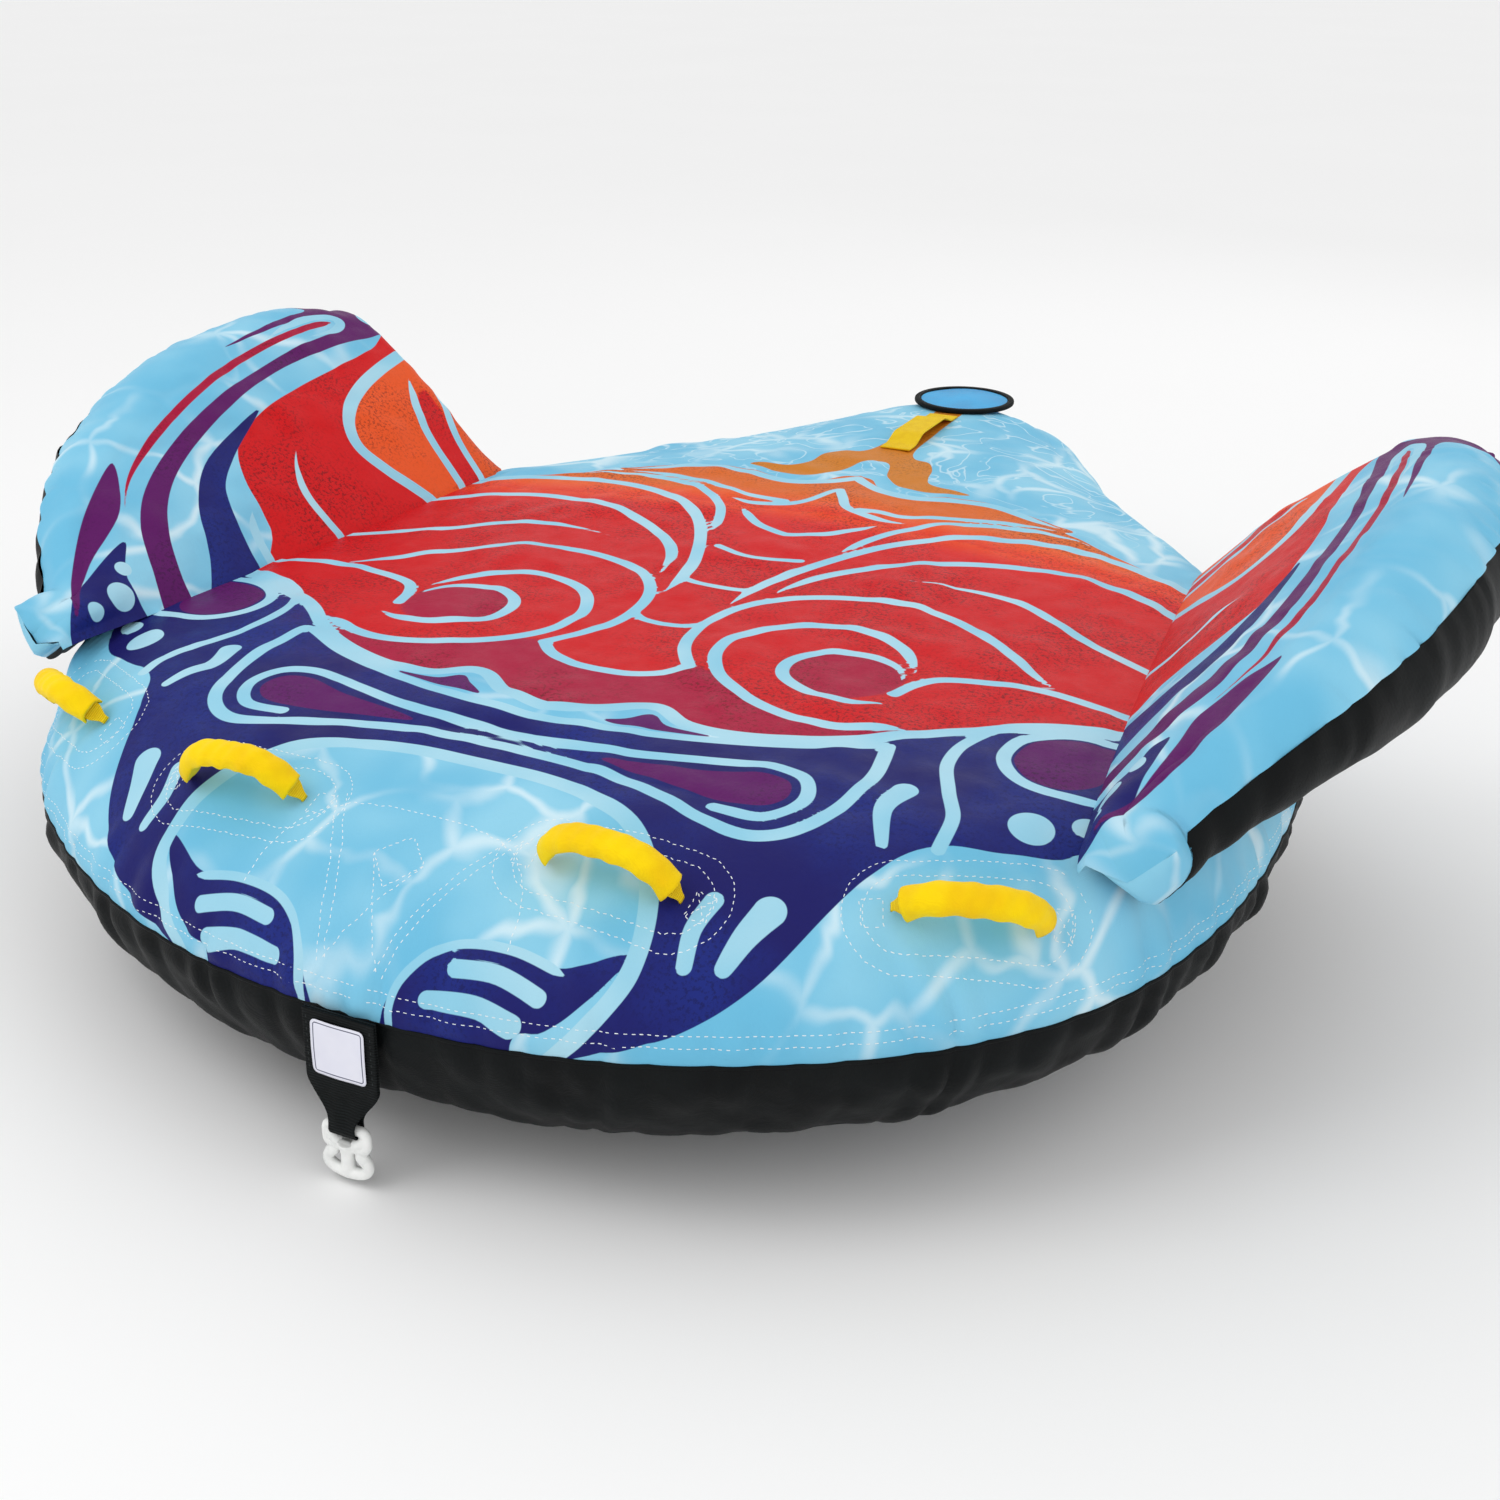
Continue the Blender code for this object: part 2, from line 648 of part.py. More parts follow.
def make_patch(name, rows, steps):
    """A reinforcement sewn to the inside of the top cover, over a stretch of its skin."""
    bm = bmesh.new()
    lines = []
    for t, side in rows:
        line = []
        for p in steps:
            point = deck_point(t, p) - deck_normal(t, p) * (COVER + CLEAR)
            line.append(bm.verts.new((point.x * side, point.y, point.z)))
        lines.append(line)
    for here, there in zip(lines, lines[1:]):
        for k in range(len(steps) - 1):
            bm.faces.new((here[k], here[k + 1], there[k + 1], there[k]))
    triangulate(bm)
    bmesh.ops.recalc_face_normals(bm, faces=bm.faces)
    face_outward(bm, Vector((0.0, -0.4, 0.0)))
    solidify(finish_mesh(name, bm, "black", 0.8), PATCH)


# ---- tow strap and hook ------------------------------------------------------------------
def tow_strap_path():
    """Side view of the doubled strap: down the front, round the hook's bar, up the back."""
    layer = 0.5 * STRAP_THICK + CLEAR
    eye = HOOK_BAR_HALF + STRAP_EYE_GAP + 0.5 * STRAP_THICK
    offsets = [(STRAP_LENGTH, layer), (0.085, layer), (0.050, layer), (0.034, 0.46 * eye), (0.018, 0.85 * eye),
               (0.0, eye)]
    front = [(-offset, height) for height, offset in offsets]
    turn = [(-eye * math.cos(math.pi * k / 6), -eye * math.sin(math.pi * k / 6)) for k in range(1, 6)]
    back = [(offset, height) for height, offset in reversed(offsets)]
    return front + turn + back


def strap_width(height):
    low, high = STRAP_GATHER
    return mix(STRAP_TIP_WIDTH, STRAP_WIDTH, smoothstep((height - low) / (high - low)))


def make_tow_strap():
    path = tow_strap_path()
    points = [(0.0, STRAP_Y + y, HOOK_Z + z) for y, z in path]
    widths = [strap_width(z) for _, z in path]
    strap_strip("tow_strap", points, widths, "black", (1, 0, 0), STRAP_THICK)
    front = STRAP_Y - STRAP_THICK - 2.0 * CLEAR - 0.5 * LABEL_SIZE[1]
    place = Matrix.Translation((0.0, front, HOOK_Z + LABEL_HEIGHT))
    box("tow_label", LABEL_SIZE, place, "label", 0.0, 0.5)


def hook_ring():
    """Rounded rectangle round the strap's eye; its top bar lies on the hook's own X axis."""
    points = []
    for side, level, start in ((1, HOOK_RING_Z[0], 0), (-1, HOOK_RING_Z[0], 90),
                               (-1, HOOK_RING_Z[1], 180), (1, HOOK_RING_Z[1], 270)):
        for step in (0, 45, 90):
            angle = math.radians(start + step)
            points.append((side * HOOK_RING_X + HOOK_RING_ROUND * math.cos(angle), 0.0,
                           level + HOOK_RING_ROUND * math.sin(angle)))
    return points


def make_hook():
    """Quick-connect hook: a ring for the strap, a stem and two arms that curl up."""
    arms = [(-x, 0.0, z) for x, z in HOOK_ARM]
    arms += [(x, 0.0, z) for x, z in reversed(HOOK_ARM)]
    stem = [(0.0, 0.0, z) for z in HOOK_STEM_Z]
    hook = finish_mesh("tow_hook", tube(hook_ring(), HOOK_BAR_HALF, closed=True), "white", 0.25)
    hook.location = (0.0, STRAP_Y, HOOK_Z)
    for name, points, radius in (("stem", stem, HOOK_STEM_RADIUS), ("arms", arms, HOOK_ARM_RADIUS)):
        extra = finish_mesh("hook_" + name, tube(points, radius), "white", 0.25, CUTTERS)
        extra.location = hook.location
        extra.hide_render = True
        extra.display_type = "WIRE"
        join = hook.modifiers.new("join", "BOOLEAN")
        join.operation = "UNION"
        join.object = extra


# ---- tail --------------------------------------------------------------------------------
def make_flap():
    """Round valve flap: a disc with a bound edge, hinged along its front."""
    low = DECK_Z + CROWN_REAR + 0.0010
    disc_radius = FLAP_RADIUS - 2.0 * BINDING
    turned("valve_flap", [(0.0, FLAP_THICK), (disc_radius, FLAP_THICK), (disc_radius, 0.0), (0.0, 0.0)],
           "disc_blue", (0.0, FLAP_Y, low + BINDING - 0.5 * FLAP_THICK), steps=32, roughness=0.6)
    ring = []
    for k in range(8):
        angle = -2.0 * math.pi * k / 8
        ring.append((FLAP_RADIUS - BINDING + (BINDING - CLEAR) * math.cos(angle), BINDING * math.sin(angle)))
    turned("valve_flap_binding", ring, "black", (0.0, FLAP_Y, low + BINDING), steps=32, roughness=0.7)


def make_grab_strap():
    low, high = GRAB_Y
    base = DECK_Z + CROWN_REAR + 0.5 * GRAB_THICK + 2.0 * CLEAR
    path = []
    for k in range(13):
        share = k / 12
        rise = GRAB_ARCH * smoothstep(min(share, 1.0 - share) * 5.0 - 0.5)
        path.append((0.0, mix(low, high, share), base + rise))
    strap_strip("rear_grab_strap", path, [GRAB_WIDTH] * len(path), "yellow", (1, 0, 0), GRAB_THICK)


def make_zip():
    """Zip on the tail's underside, where the bladder goes in, with its slider."""
    slope = TAIL_RISE / (1.0 - REST_HALF_LENGTH)
    tilt = Matrix.Rotation(math.atan(slope), 4, "X")
    down = Vector((0.0, slope, -1.0)).normalized()
    middle = 0.5 * (ZIP_Y[0] + ZIP_Y[1])
    length = (ZIP_Y[1] - ZIP_Y[0]) / math.cos(math.atan(slope))
    on_skin = Vector((0.0, middle, belly(middle)))
    tape = on_skin + down * (CLEAR + 0.5 * ZIP_THICK)
    box("zip_tape", (ZIP_WIDTH, length, ZIP_THICK), Matrix.Translation(tape) @ tilt, "black", 0.0, 0.8)
    start = Vector((0.0, SLIDER_Y, belly(SLIDER_Y))) + down * (2.0 * CLEAR + ZIP_THICK + 0.5 * SLIDER_SIZE[2])
    box("zip_slider", SLIDER_SIZE, Matrix.Translation(start) @ tilt, "grey", 0.0008, 0.4)


PARTS = None
CUTTERS = None


def main():
    global PARTS, CUTTERS
    clear_scene()
    PARTS = new_collection(NAME)
    CUTTERS = new_collection("cutters")
    cover = make_deck()
    for side, word in ((1.0, "right"), (-1.0, "left")):
        make_wing(side, word)
        for name, (x, y, turn) in HANDLES.items():
            make_handle(cover, name + "_" + word, side * x, y, side * turn)
            rows, steps = PATCHES[name]
            ordered = rows if side > 0.0 else reversed(rows)
            make_patch("handle_patch_%s_%s" % (name, word), [(t, side) for t in ordered], steps)
    make_patch("tow_patch", [(0.5, -1.0), (0.0, 1.0), (0.5, 1.0)], TOW_PATCH_STEPS)
    make_tow_strap()
    make_hook()
    make_valve("deck_valve", "", Vector((0.0, FLAP_Y, DECK_Z + CROWN_REAR)), Vector((0, 0, 1)), VALVE_RADIUS)
    make_flap()
    make_grab_strap()
    make_zip()


main()
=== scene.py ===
import json
import math
from contextlib import contextmanager

import bmesh
import bpy
import numpy as np
from mathutils import Matrix, Vector
from mathutils.bvhtree import BVHTree
from mathutils.kdtree import KDTree


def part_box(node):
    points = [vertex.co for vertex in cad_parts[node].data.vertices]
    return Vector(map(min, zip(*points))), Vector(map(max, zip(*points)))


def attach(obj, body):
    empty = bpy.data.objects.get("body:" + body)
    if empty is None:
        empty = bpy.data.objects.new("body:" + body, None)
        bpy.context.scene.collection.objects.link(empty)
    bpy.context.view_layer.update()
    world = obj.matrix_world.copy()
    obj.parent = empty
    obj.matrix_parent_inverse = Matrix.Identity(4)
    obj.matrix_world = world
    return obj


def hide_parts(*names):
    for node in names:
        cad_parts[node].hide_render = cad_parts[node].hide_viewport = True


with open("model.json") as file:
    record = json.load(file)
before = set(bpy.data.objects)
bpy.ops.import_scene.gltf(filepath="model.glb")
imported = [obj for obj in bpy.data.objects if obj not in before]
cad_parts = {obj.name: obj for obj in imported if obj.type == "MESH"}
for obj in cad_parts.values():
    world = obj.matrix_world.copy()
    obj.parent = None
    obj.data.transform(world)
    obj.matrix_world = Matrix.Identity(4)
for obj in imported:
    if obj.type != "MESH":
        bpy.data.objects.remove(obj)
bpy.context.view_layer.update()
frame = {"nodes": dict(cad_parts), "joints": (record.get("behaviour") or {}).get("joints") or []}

# ---- the shapes of part.py, in metres ----
DECK_Z, HEM_Z, HEM_LIFT = 0.360, 0.193, 0.030
BELLY_Z, BELLY_LIFT, BELLY_ROUND = 0.055, 0.060, 0.115
HALF_WIDTH, REST_HALF, TAIL_RISE = 0.760, 0.45, 0.085
SPINE_FRONT, SPINE_REAR = -0.50, 0.83
CROWN_FRONT, CROWN_REAR = 0.012, 0.030
# Points round the right half of the deck: across, along, and width of its rounded side.
STATIONS = np.array([
    (0.000, -0.962, 0.340), (0.190, -0.947, 0.330), (0.370, -0.892, 0.300), (0.545, -0.790, 0.260),
    (0.672, -0.650, 0.210), (0.738, -0.470, 0.155), (0.760, -0.260, 0.177), (0.745, -0.030, 0.182),
    (0.660, 0.200, 0.116), (0.520, 0.400, 0.100), (0.385, 0.590, 0.100), (0.295, 0.760, 0.100),
    (0.205, 0.905, 0.100), (0.105, 0.978, 0.100), (0.000, 0.993, 0.100)])
LAST = len(STATIONS) - 1.0
HEM = 2.0
DECK_MIDDLE = Vector((0, 0, 0.2))
WING_SLOPE = math.radians(42.5)
WING_GAP = 0.006
WING_FRONT_Y, WING_REAR_Y = -0.605, 0.200
WING_THICK_FRONT, WING_THICK, WING_EDGE_RADIUS = 0.085, 0.165, 0.080
WING_CROWN, WING_END_BULGE, WING_ROOT_THICK = 0.012, 0.045, 0.006
WING_TOP = [(-0.590, 0.080), (-0.495, 0.200), (-0.355, 0.305), (-0.180, 0.382), (0.0, 0.412),
            (0.125, 0.412), (0.215, 0.382)]
WING_UNDERSIDE = [(1.0, 1.0), (0.64, 1.02), (0.34, 0.94), (0.13, 0.25), (0.0, 0.0)]
# Where the printed cover ends: round the wing's edge, and on its front cap. Where the end rows begin.
WING_SEAM, WING_CAP_SEAM, WING_CAP_RIM = 2.05, 3.95, 0.22
WING_END_SEAM = 0.75
HANDLE_SPAN, HANDLE_RISE = 0.152, 0.050
STRAP_Y, HOOK_Z = -0.973, 0.066


def smooth(f):
    f = np.clip(f, 0.0, 1.0)
    return f * f * (3.0 - 2.0 * f)


def spline(points, t):
    """Smooth curve through the points, the first at t = 0 and the next at 1."""
    points = np.asarray(points, float)
    t = np.asarray(t, float)
    last = len(points) - 1
    i = np.clip(t.astype(int), 0, last - 1)
    f = (t - i)[..., None]
    a, b = points[np.maximum(i - 1, 0)], points[i]
    c, d = points[i + 1], points[np.minimum(i + 2, last)]
    bend, twist = 2 * a - 5 * b + 4 * c - d, 3 * b - a - 3 * c + d
    return 0.5 * (2 * b + (c - a) * f + bend * f ** 2 + twist * f ** 3)


def outline(t):
    flip = np.array([-1.0, 1.0, 1.0])
    points = np.vstack([STATIONS[1] * flip, STATIONS, STATIONS[-2] * flip])
    return spline(points, np.asarray(t) + 1.0)


def crown(y):
    return CROWN_FRONT + (CROWN_REAR - CROWN_FRONT) * smooth((y + 0.1) / 0.7)


def belly(y):
    return TAIL_RISE * np.maximum(0.0, y - REST_HALF) / (1.0 - REST_HALF)


def arc_lengths(width, height, share, steps=24):
    """Length along a quarter ellipse from its top to share of its quarter turn."""
    total = np.zeros(np.shape(share))
    before = (-width, height)
    for k in range(1, steps + 1):
        phi = (1.0 - share * k / steps) * 0.5 * math.pi
        now = (-width * (1.0 - np.cos(phi)), height * np.sin(phi))
        total = total + np.hypot(now[0] - before[0], now[1] - before[1])
        before = now
    return total


def deck(t, p):
    """Right half of the deck's skin: points, and the same spread flat as (across, along).

    t goes round it. p is 0 at the spine, 1 where the side begins, 2 at the hem, 3 and 4 underneath.
    """
    t, p = np.broadcast_arrays(np.asarray(t, float), np.asarray(p, float))
    x, y, width = np.moveaxis(outline(t), -1, 0)
    lift = (x / HALF_WIDTH) ** 2
    hem = HEM_Z + HEM_LIFT * lift
    spine = np.clip(y, SPINE_FRONT, SPINE_REAR)
    reach = np.hypot(x, y - spine)
    rx, ry = x / np.maximum(reach, 1e-9), (y - spine) / np.maximum(reach, 1e-9)
    low = BELLY_Z + BELLY_LIFT * lift + belly(spine)
    inner = np.clip(p, 0, 1)
    phi = (2.0 - np.clip(p, 1, 2)) * 0.5 * math.pi
    psi = (np.clip(p, 2, 3) - 2.0) * 0.5 * math.pi
    under = 4.0 - np.clip(p, 3, 4)
    parts = [p <= 1, p <= 2, p <= 3]
    r = np.select(parts, [(reach - width) * inner, reach - width * (1 - np.cos(phi)),
                          reach - BELLY_ROUND * (1 - np.cos(psi))], (reach - BELLY_ROUND) * under)
    z = np.select(parts, [DECK_Z + crown(spine) * (1 - inner ** 3), hem + (DECK_Z - hem) * np.sin(phi),
                          hem - (hem - low) * np.sin(psi)],
                  belly(spine) + (BELLY_Z + BELLY_LIFT * lift) * smooth((under - 0.45) / 0.55))
    flat = (reach - width) * inner + arc_lengths(width, DECK_Z - hem, np.clip(p, 1, 2) - 1.0)
    return np.stack([rx * r, spine + ry * r, z], -1), np.stack([rx * flat, spine + ry * flat], -1)


def crease(y):
    """How far out the fold between deck and wing is."""
    return 0.5620 - 0.075 * y + 0.050 * y * y


def wing(v, f):
    """Right wing's skin: points, and the same spread flat as (along, up the slope).

    v goes from 0 in front to 1 behind, and a whole step past them round the ends. f is 0 to 1 up the
    slope, 1 to 3 round the outer edge, and 3 to 4 back underneath.
    """
    v, f = np.broadcast_arrays(np.asarray(v, float), np.asarray(f, float))
    inner = np.clip(v, 0, 1)
    base = WING_FRONT_Y + (WING_REAR_Y - WING_FRONT_Y) * inner
    top, length = np.moveaxis(spline(WING_TOP, inner * (len(WING_TOP) - 1)), -1, 0)
    thick = WING_THICK_FRONT + (WING_THICK - WING_THICK_FRONT) * smooth(inner / 0.5)
    radius = np.minimum(np.minimum(WING_EDGE_RADIUS, 0.5 * thick), 0.45 * length)
    flat = length - radius
    s_top = flat * np.clip(f, 0, 1)
    phi = (np.clip(f, 1, 3) - 1.0) * 0.5 * math.pi
    under = spline(WING_UNDERSIDE, (np.clip(f, 3, 4) - 3.0) * 4)
    s = np.select([f <= 1, f <= 3], [s_top, flat + radius * np.sin(phi)], flat * under[..., 0])
    n = np.select([f <= 1, f <= 3],
                  [-WING_CROWN * np.sin(math.pi * s_top / flat), 0.5 * thick * (1 - np.cos(phi))],
                  thick * under[..., 1] + WING_ROOT_THICK * np.clip(f - 3.75, 0, 1) * 4)
    over = v - inner
    share = s / length
    turn = np.minimum(np.abs(over), 1) * 0.5 * math.pi
    middle = 0.5 * thick * np.minimum(1, share * 3 + 0.15)
    n = np.where(over != 0, middle + (n - middle) * np.cos(turn), n)
    y = base + (top - base) * share + np.sign(over) * WING_END_BULGE * np.sin(turn)
    x = crease(y) + WING_GAP + s * math.cos(WING_SLOPE) + n * math.sin(WING_SLOPE)
    z = DECK_Z + WING_GAP + s * math.sin(WING_SLOPE) - n * math.cos(WING_SLOPE)
    round_part = (np.clip(f, 1, 3) - 1) * 0.5 * math.pi * np.sqrt(0.5 * (radius ** 2 + (0.5 * thick) ** 2))
    return np.stack([x, y, z], -1), np.stack([y, np.where(f <= 1, s, flat + round_part)], -1)


# ---- meshes ----
def show(name, data):
    obj = bpy.data.objects.new(name, data)
    bpy.context.scene.collection.objects.link(obj)
    return obj


def add_mesh(name, verts, faces, material, smooth_shade=True):
    mesh = bpy.data.meshes.new(name)
    mesh.from_pydata(np.asarray(verts, float).reshape(-1, 3).tolist(), [], faces)
    mesh.update()
    mesh.materials.append(material)
    if smooth_shade:
        mesh.shade_smooth()
    return show(name, mesh)


def grid_faces(rows, cols, close_rows=False, close_cols=False, start=0):
    i, k = np.meshgrid(np.arange(rows if close_rows else rows - 1),
                       np.arange(cols if close_cols else cols - 1), indexing="ij")
    j, n = (i + 1) % rows, (k + 1) % cols
    quads = np.stack([i * cols + k, i * cols + n, j * cols + n, j * cols + k], -1)
    return (quads.reshape(-1, 4) + start).tolist()


def put(obj, body, slot, *nodes):
    if nodes:
        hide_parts(*nodes)
    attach(obj, body)


def set_attribute(obj, name, values):
    """A number, or the values' last axis as a vector, for each vertex."""
    values = np.asarray(values, np.float32)
    kind, key = ("FLOAT", "value") if values.ndim == 1 else ("FLOAT_VECTOR", "vector")
    obj.data.attributes.new(name, kind, "POINT").data.foreach_set(key, values.ravel())


def with_zero(values):
    """The same with a third coordinate of zero."""
    return np.concatenate([values, 0 * values[..., :1]], -1)


def read_vectors(data, key="vector"):
    out = np.empty(len(data) * 3, np.float32)
    data.foreach_get(key, out)
    return out.reshape(-1, 3).astype(float)


def get_coords(obj):
    return read_vectors(obj.data.vertices, "co")


def set_coords(obj, co):
    obj.data.vertices.foreach_set("co", np.asarray(co, np.float32).ravel())
    obj.data.update()


def displace(obj, lift, rise=0.0):
    """Moves the vertices by lift along their normals, and up by rise."""
    moved = get_coords(obj) + read_vectors(obj.data.vertex_normals) * lift[:, None]
    moved[:, 2] += rise
    set_coords(obj, moved)


@contextmanager
def editing(obj):
    """The object's mesh as a bmesh, written back when done."""
    bm = bmesh.new()
    bm.from_mesh(obj.data)
    yield bm
    bm.to_mesh(obj.data)
    bm.free()


def merge(obj, distance=2e-5):
    """Joins vertices that coincide, and keeps the point attributes."""
    with editing(obj) as bm:
        bmesh.ops.remove_doubles(bm, verts=bm.verts, dist=distance)
        bmesh.ops.dissolve_degenerate(bm, edges=bm.edges, dist=1e-6)


def face_out(obj, centre=None):
    """Faces look the same way as their neighbours, and away from centre where there is one."""
    with editing(obj) as bm:
        bmesh.ops.recalc_face_normals(bm, faces=bm.faces)
        if centre is not None:
            vote = sum(f.normal.dot(f.calc_center_median() - centre) * f.calc_area() for f in bm.faces)
            if vote < 0:
                bmesh.ops.reverse_faces(bm, faces=bm.faces)


def tree_of(obj):
    return BVHTree.FromObject(obj, bpy.context.evaluated_depsgraph_get())


def evaluated_mesh(obj):
    return bpy.data.meshes.new_from_object(obj.evaluated_get(bpy.context.evaluated_depsgraph_get()))


def run_lengths(points):
    """How far along a line each of its points is."""
    return np.concatenate([[0.0], np.cumsum(np.linalg.norm(np.diff(points, axis=0), axis=1))])


def unit(vectors):
    return vectors / np.linalg.norm(vectors, axis=1)[:, None]


def circle(count):
    """Angles evenly round a whole turn."""
    return np.linspace(0, 2 * math.pi, count + 1)[:-1]


def rows_along(curve_at, low, high, step):
    """Values between low and high at which a curve's points are a step apart."""
    fine = np.linspace(low, high, 3000)
    length = run_lengths(curve_at(fine))
    count = int(round(length[-1] / step)) + 1
    return np.interp(np.linspace(0, length[-1], count), length, fine)


# ---- wrinkles ----
def closed_noise(a, seed, low, high, count):
    """Smooth noise of a, which runs from 0 to 1 round a closed edge, as waves that fit low to high times."""
    rng = np.random.default_rng(seed)
    cycles = rng.integers(low, high, count)
    phases, strengths = rng.uniform(0, 2 * math.pi, count), rng.uniform(0.6, 1.0, count)
    turns = 2 * math.pi * cycles * a[..., None] + phases
    return (strengths * np.sin(turns)).sum(-1) / math.sqrt(count)


def above_lining(lift, floor=0.0006):
    """Bends displacements that go below the skin back up, so that nothing inside shows."""
    return np.where(lift < 0, -floor * (1 - np.exp(lift / floor)), lift)


def puckers(a, away, cycles, reach, seed):
    """Gathers that run straight in from a sewn edge and fade out over reach."""
    drift = 0.35 * closed_noise(a, seed, cycles // 8, cycles // 3, 7)
    drift = drift + away * 1.8 * closed_noise(a, seed + 1, cycles // 12, cycles // 5, 4)
    ridge = np.abs(np.sin(math.pi * cycles * a + 2.2 * drift))
    strength = 0.45 + 0.55 * smooth(0.5 + 0.6 * closed_noise(a, seed + 2, cycles // 6, cycles // 2, 6))
    varied = closed_noise(a, seed + 3, cycles // 8, cycles // 3, 5).clip(-0.8, 1.6)
    length = np.maximum(reach * (0.55 + 0.45 * varied), 0.012)
    return (ridge ** 0.6 - 0.42) * strength * np.exp(-(away / length) ** 1.3)


def lumps(x, y, seed, size, count=14):
    """Smooth noise over a plane with bumps of about size."""
    rng = np.random.default_rng(seed)
    out = np.zeros_like(x)
    for _ in range(count):
        angle = rng.uniform(0, math.pi)
        wave = size * rng.uniform(0.7, 1.7)
        phase = rng.uniform(0, 2 * math.pi)
        out = out + np.sin(2 * math.pi * (x * math.cos(angle) + y * math.sin(angle)) / wave + phase)
    return out / math.sqrt(count)


# ---- print ----
LINE_FACTOR = 1.22
LINE_EDGE = 0.0006


def dense(points, each=9):
    """A smooth line through points given in millimetres."""
    return spline(np.array(points) / 1000.0, np.linspace(0, len(points) - 1, (len(points) - 1) * each + 1))


class Bands:
    """Bands along lines: for each point the nearest line's offset, half width and signed distance."""

    def __init__(self, uv):
        self.uv = uv
        self.far = np.full(len(uv), 1.0)
        self.near = np.tile((1.0, 1.0, 0.0), (len(uv), 1))

    def add(self, line, widths):
        for k in range(len(line) - 1):
            a, b = line[k, :2], line[k + 1, :2]
            ab = b - a
            span = max(ab @ ab, 1e-12)
            box = np.flatnonzero(np.abs(self.uv - 0.5 * (a + b)).max(1) < 0.06 + 0.5 * math.sqrt(span))
            gap = self.uv[box] - a
            t = np.clip(gap @ ab / span, 0, 1)
            gap = gap - t[:, None] * ab
            width = widths[k] + (widths[k + 1] - widths[k]) * t
            far = np.hypot(gap[:, 0], gap[:, 1]) - width
            closer = far < self.far[box]
            box = box[closer]
            self.far[box] = far[closer]
            self.near[box] = np.column_stack([gap[closer], width[closer]])

    def stroke(self, points, width, taper):
        """A line of half width width that thins out over the given shares at its two ends."""
        line = dense(points)
        share = np.linspace(0, 1, len(line))
        start = smooth(share / taper[0]) if taper[0] else 1.0
        end = smooth((1 - share) / taper[1]) if taper[1] else 1.0
        self.add(line, width * np.minimum(start, end) * np.ones(len(line)) - LINE_EDGE)

    def bar(self, points, low, high):
        line = dense(points)
        self.add(line, np.linspace(low, high, len(line)) / 1000.0)

    def dot(self, x, y, radius):
        self.add(np.array([(x, y), (x + 1e-4, y)]), (radius, radius))

    def pattern(self, obj, lines, dots):
        """Adds lines and dots given in millimetres, and keeps everything as the object's attributes."""
        for width, taper, points in lines:
            self.stroke(points, LINE_FACTOR * width / 1000.0, taper)
        for dot in dots:
            self.dot(*(np.array(dot) / 1000.0))
        set_attribute(obj, "lines", self.far)
        set_attribute(obj, "lines_near", self.near)


def blob(uv, points, each=7):
    """Signed distance, negative inside, to a closed smooth outline given in millimetres."""
    closed = np.array([points[-1], *points, *points[:2]]) / 1000.0
    line = spline(closed, np.linspace(1, len(closed) - 2, (len(closed) - 3) * each + 1))
    inside = np.zeros(len(uv), bool)
    x, y = uv[:, 0], uv[:, 1]
    best = np.full(len(uv), 1.0)
    for a, b in zip(line[:-1], line[1:]):
        ab = b - a
        span = max(ab @ ab, 1e-14)
        t = np.clip(((x - a[0]) * ab[0] + (y - a[1]) * ab[1]) / span, 0, 1)
        best = np.minimum(best, np.hypot(x - a[0] - t * ab[0], y - a[1] - t * ab[1]))
        crosses = (a[1] > y) != (b[1] > y)
        if abs(ab[1]) > 1e-12:
            inside ^= crosses & (x < a[0] + ab[0] * (y - a[1]) / ab[1])
    return np.where(inside, -best, best)


def blobs(uv, *outlines):
    return np.minimum.reduce([blob(uv, points) for points in outlines])


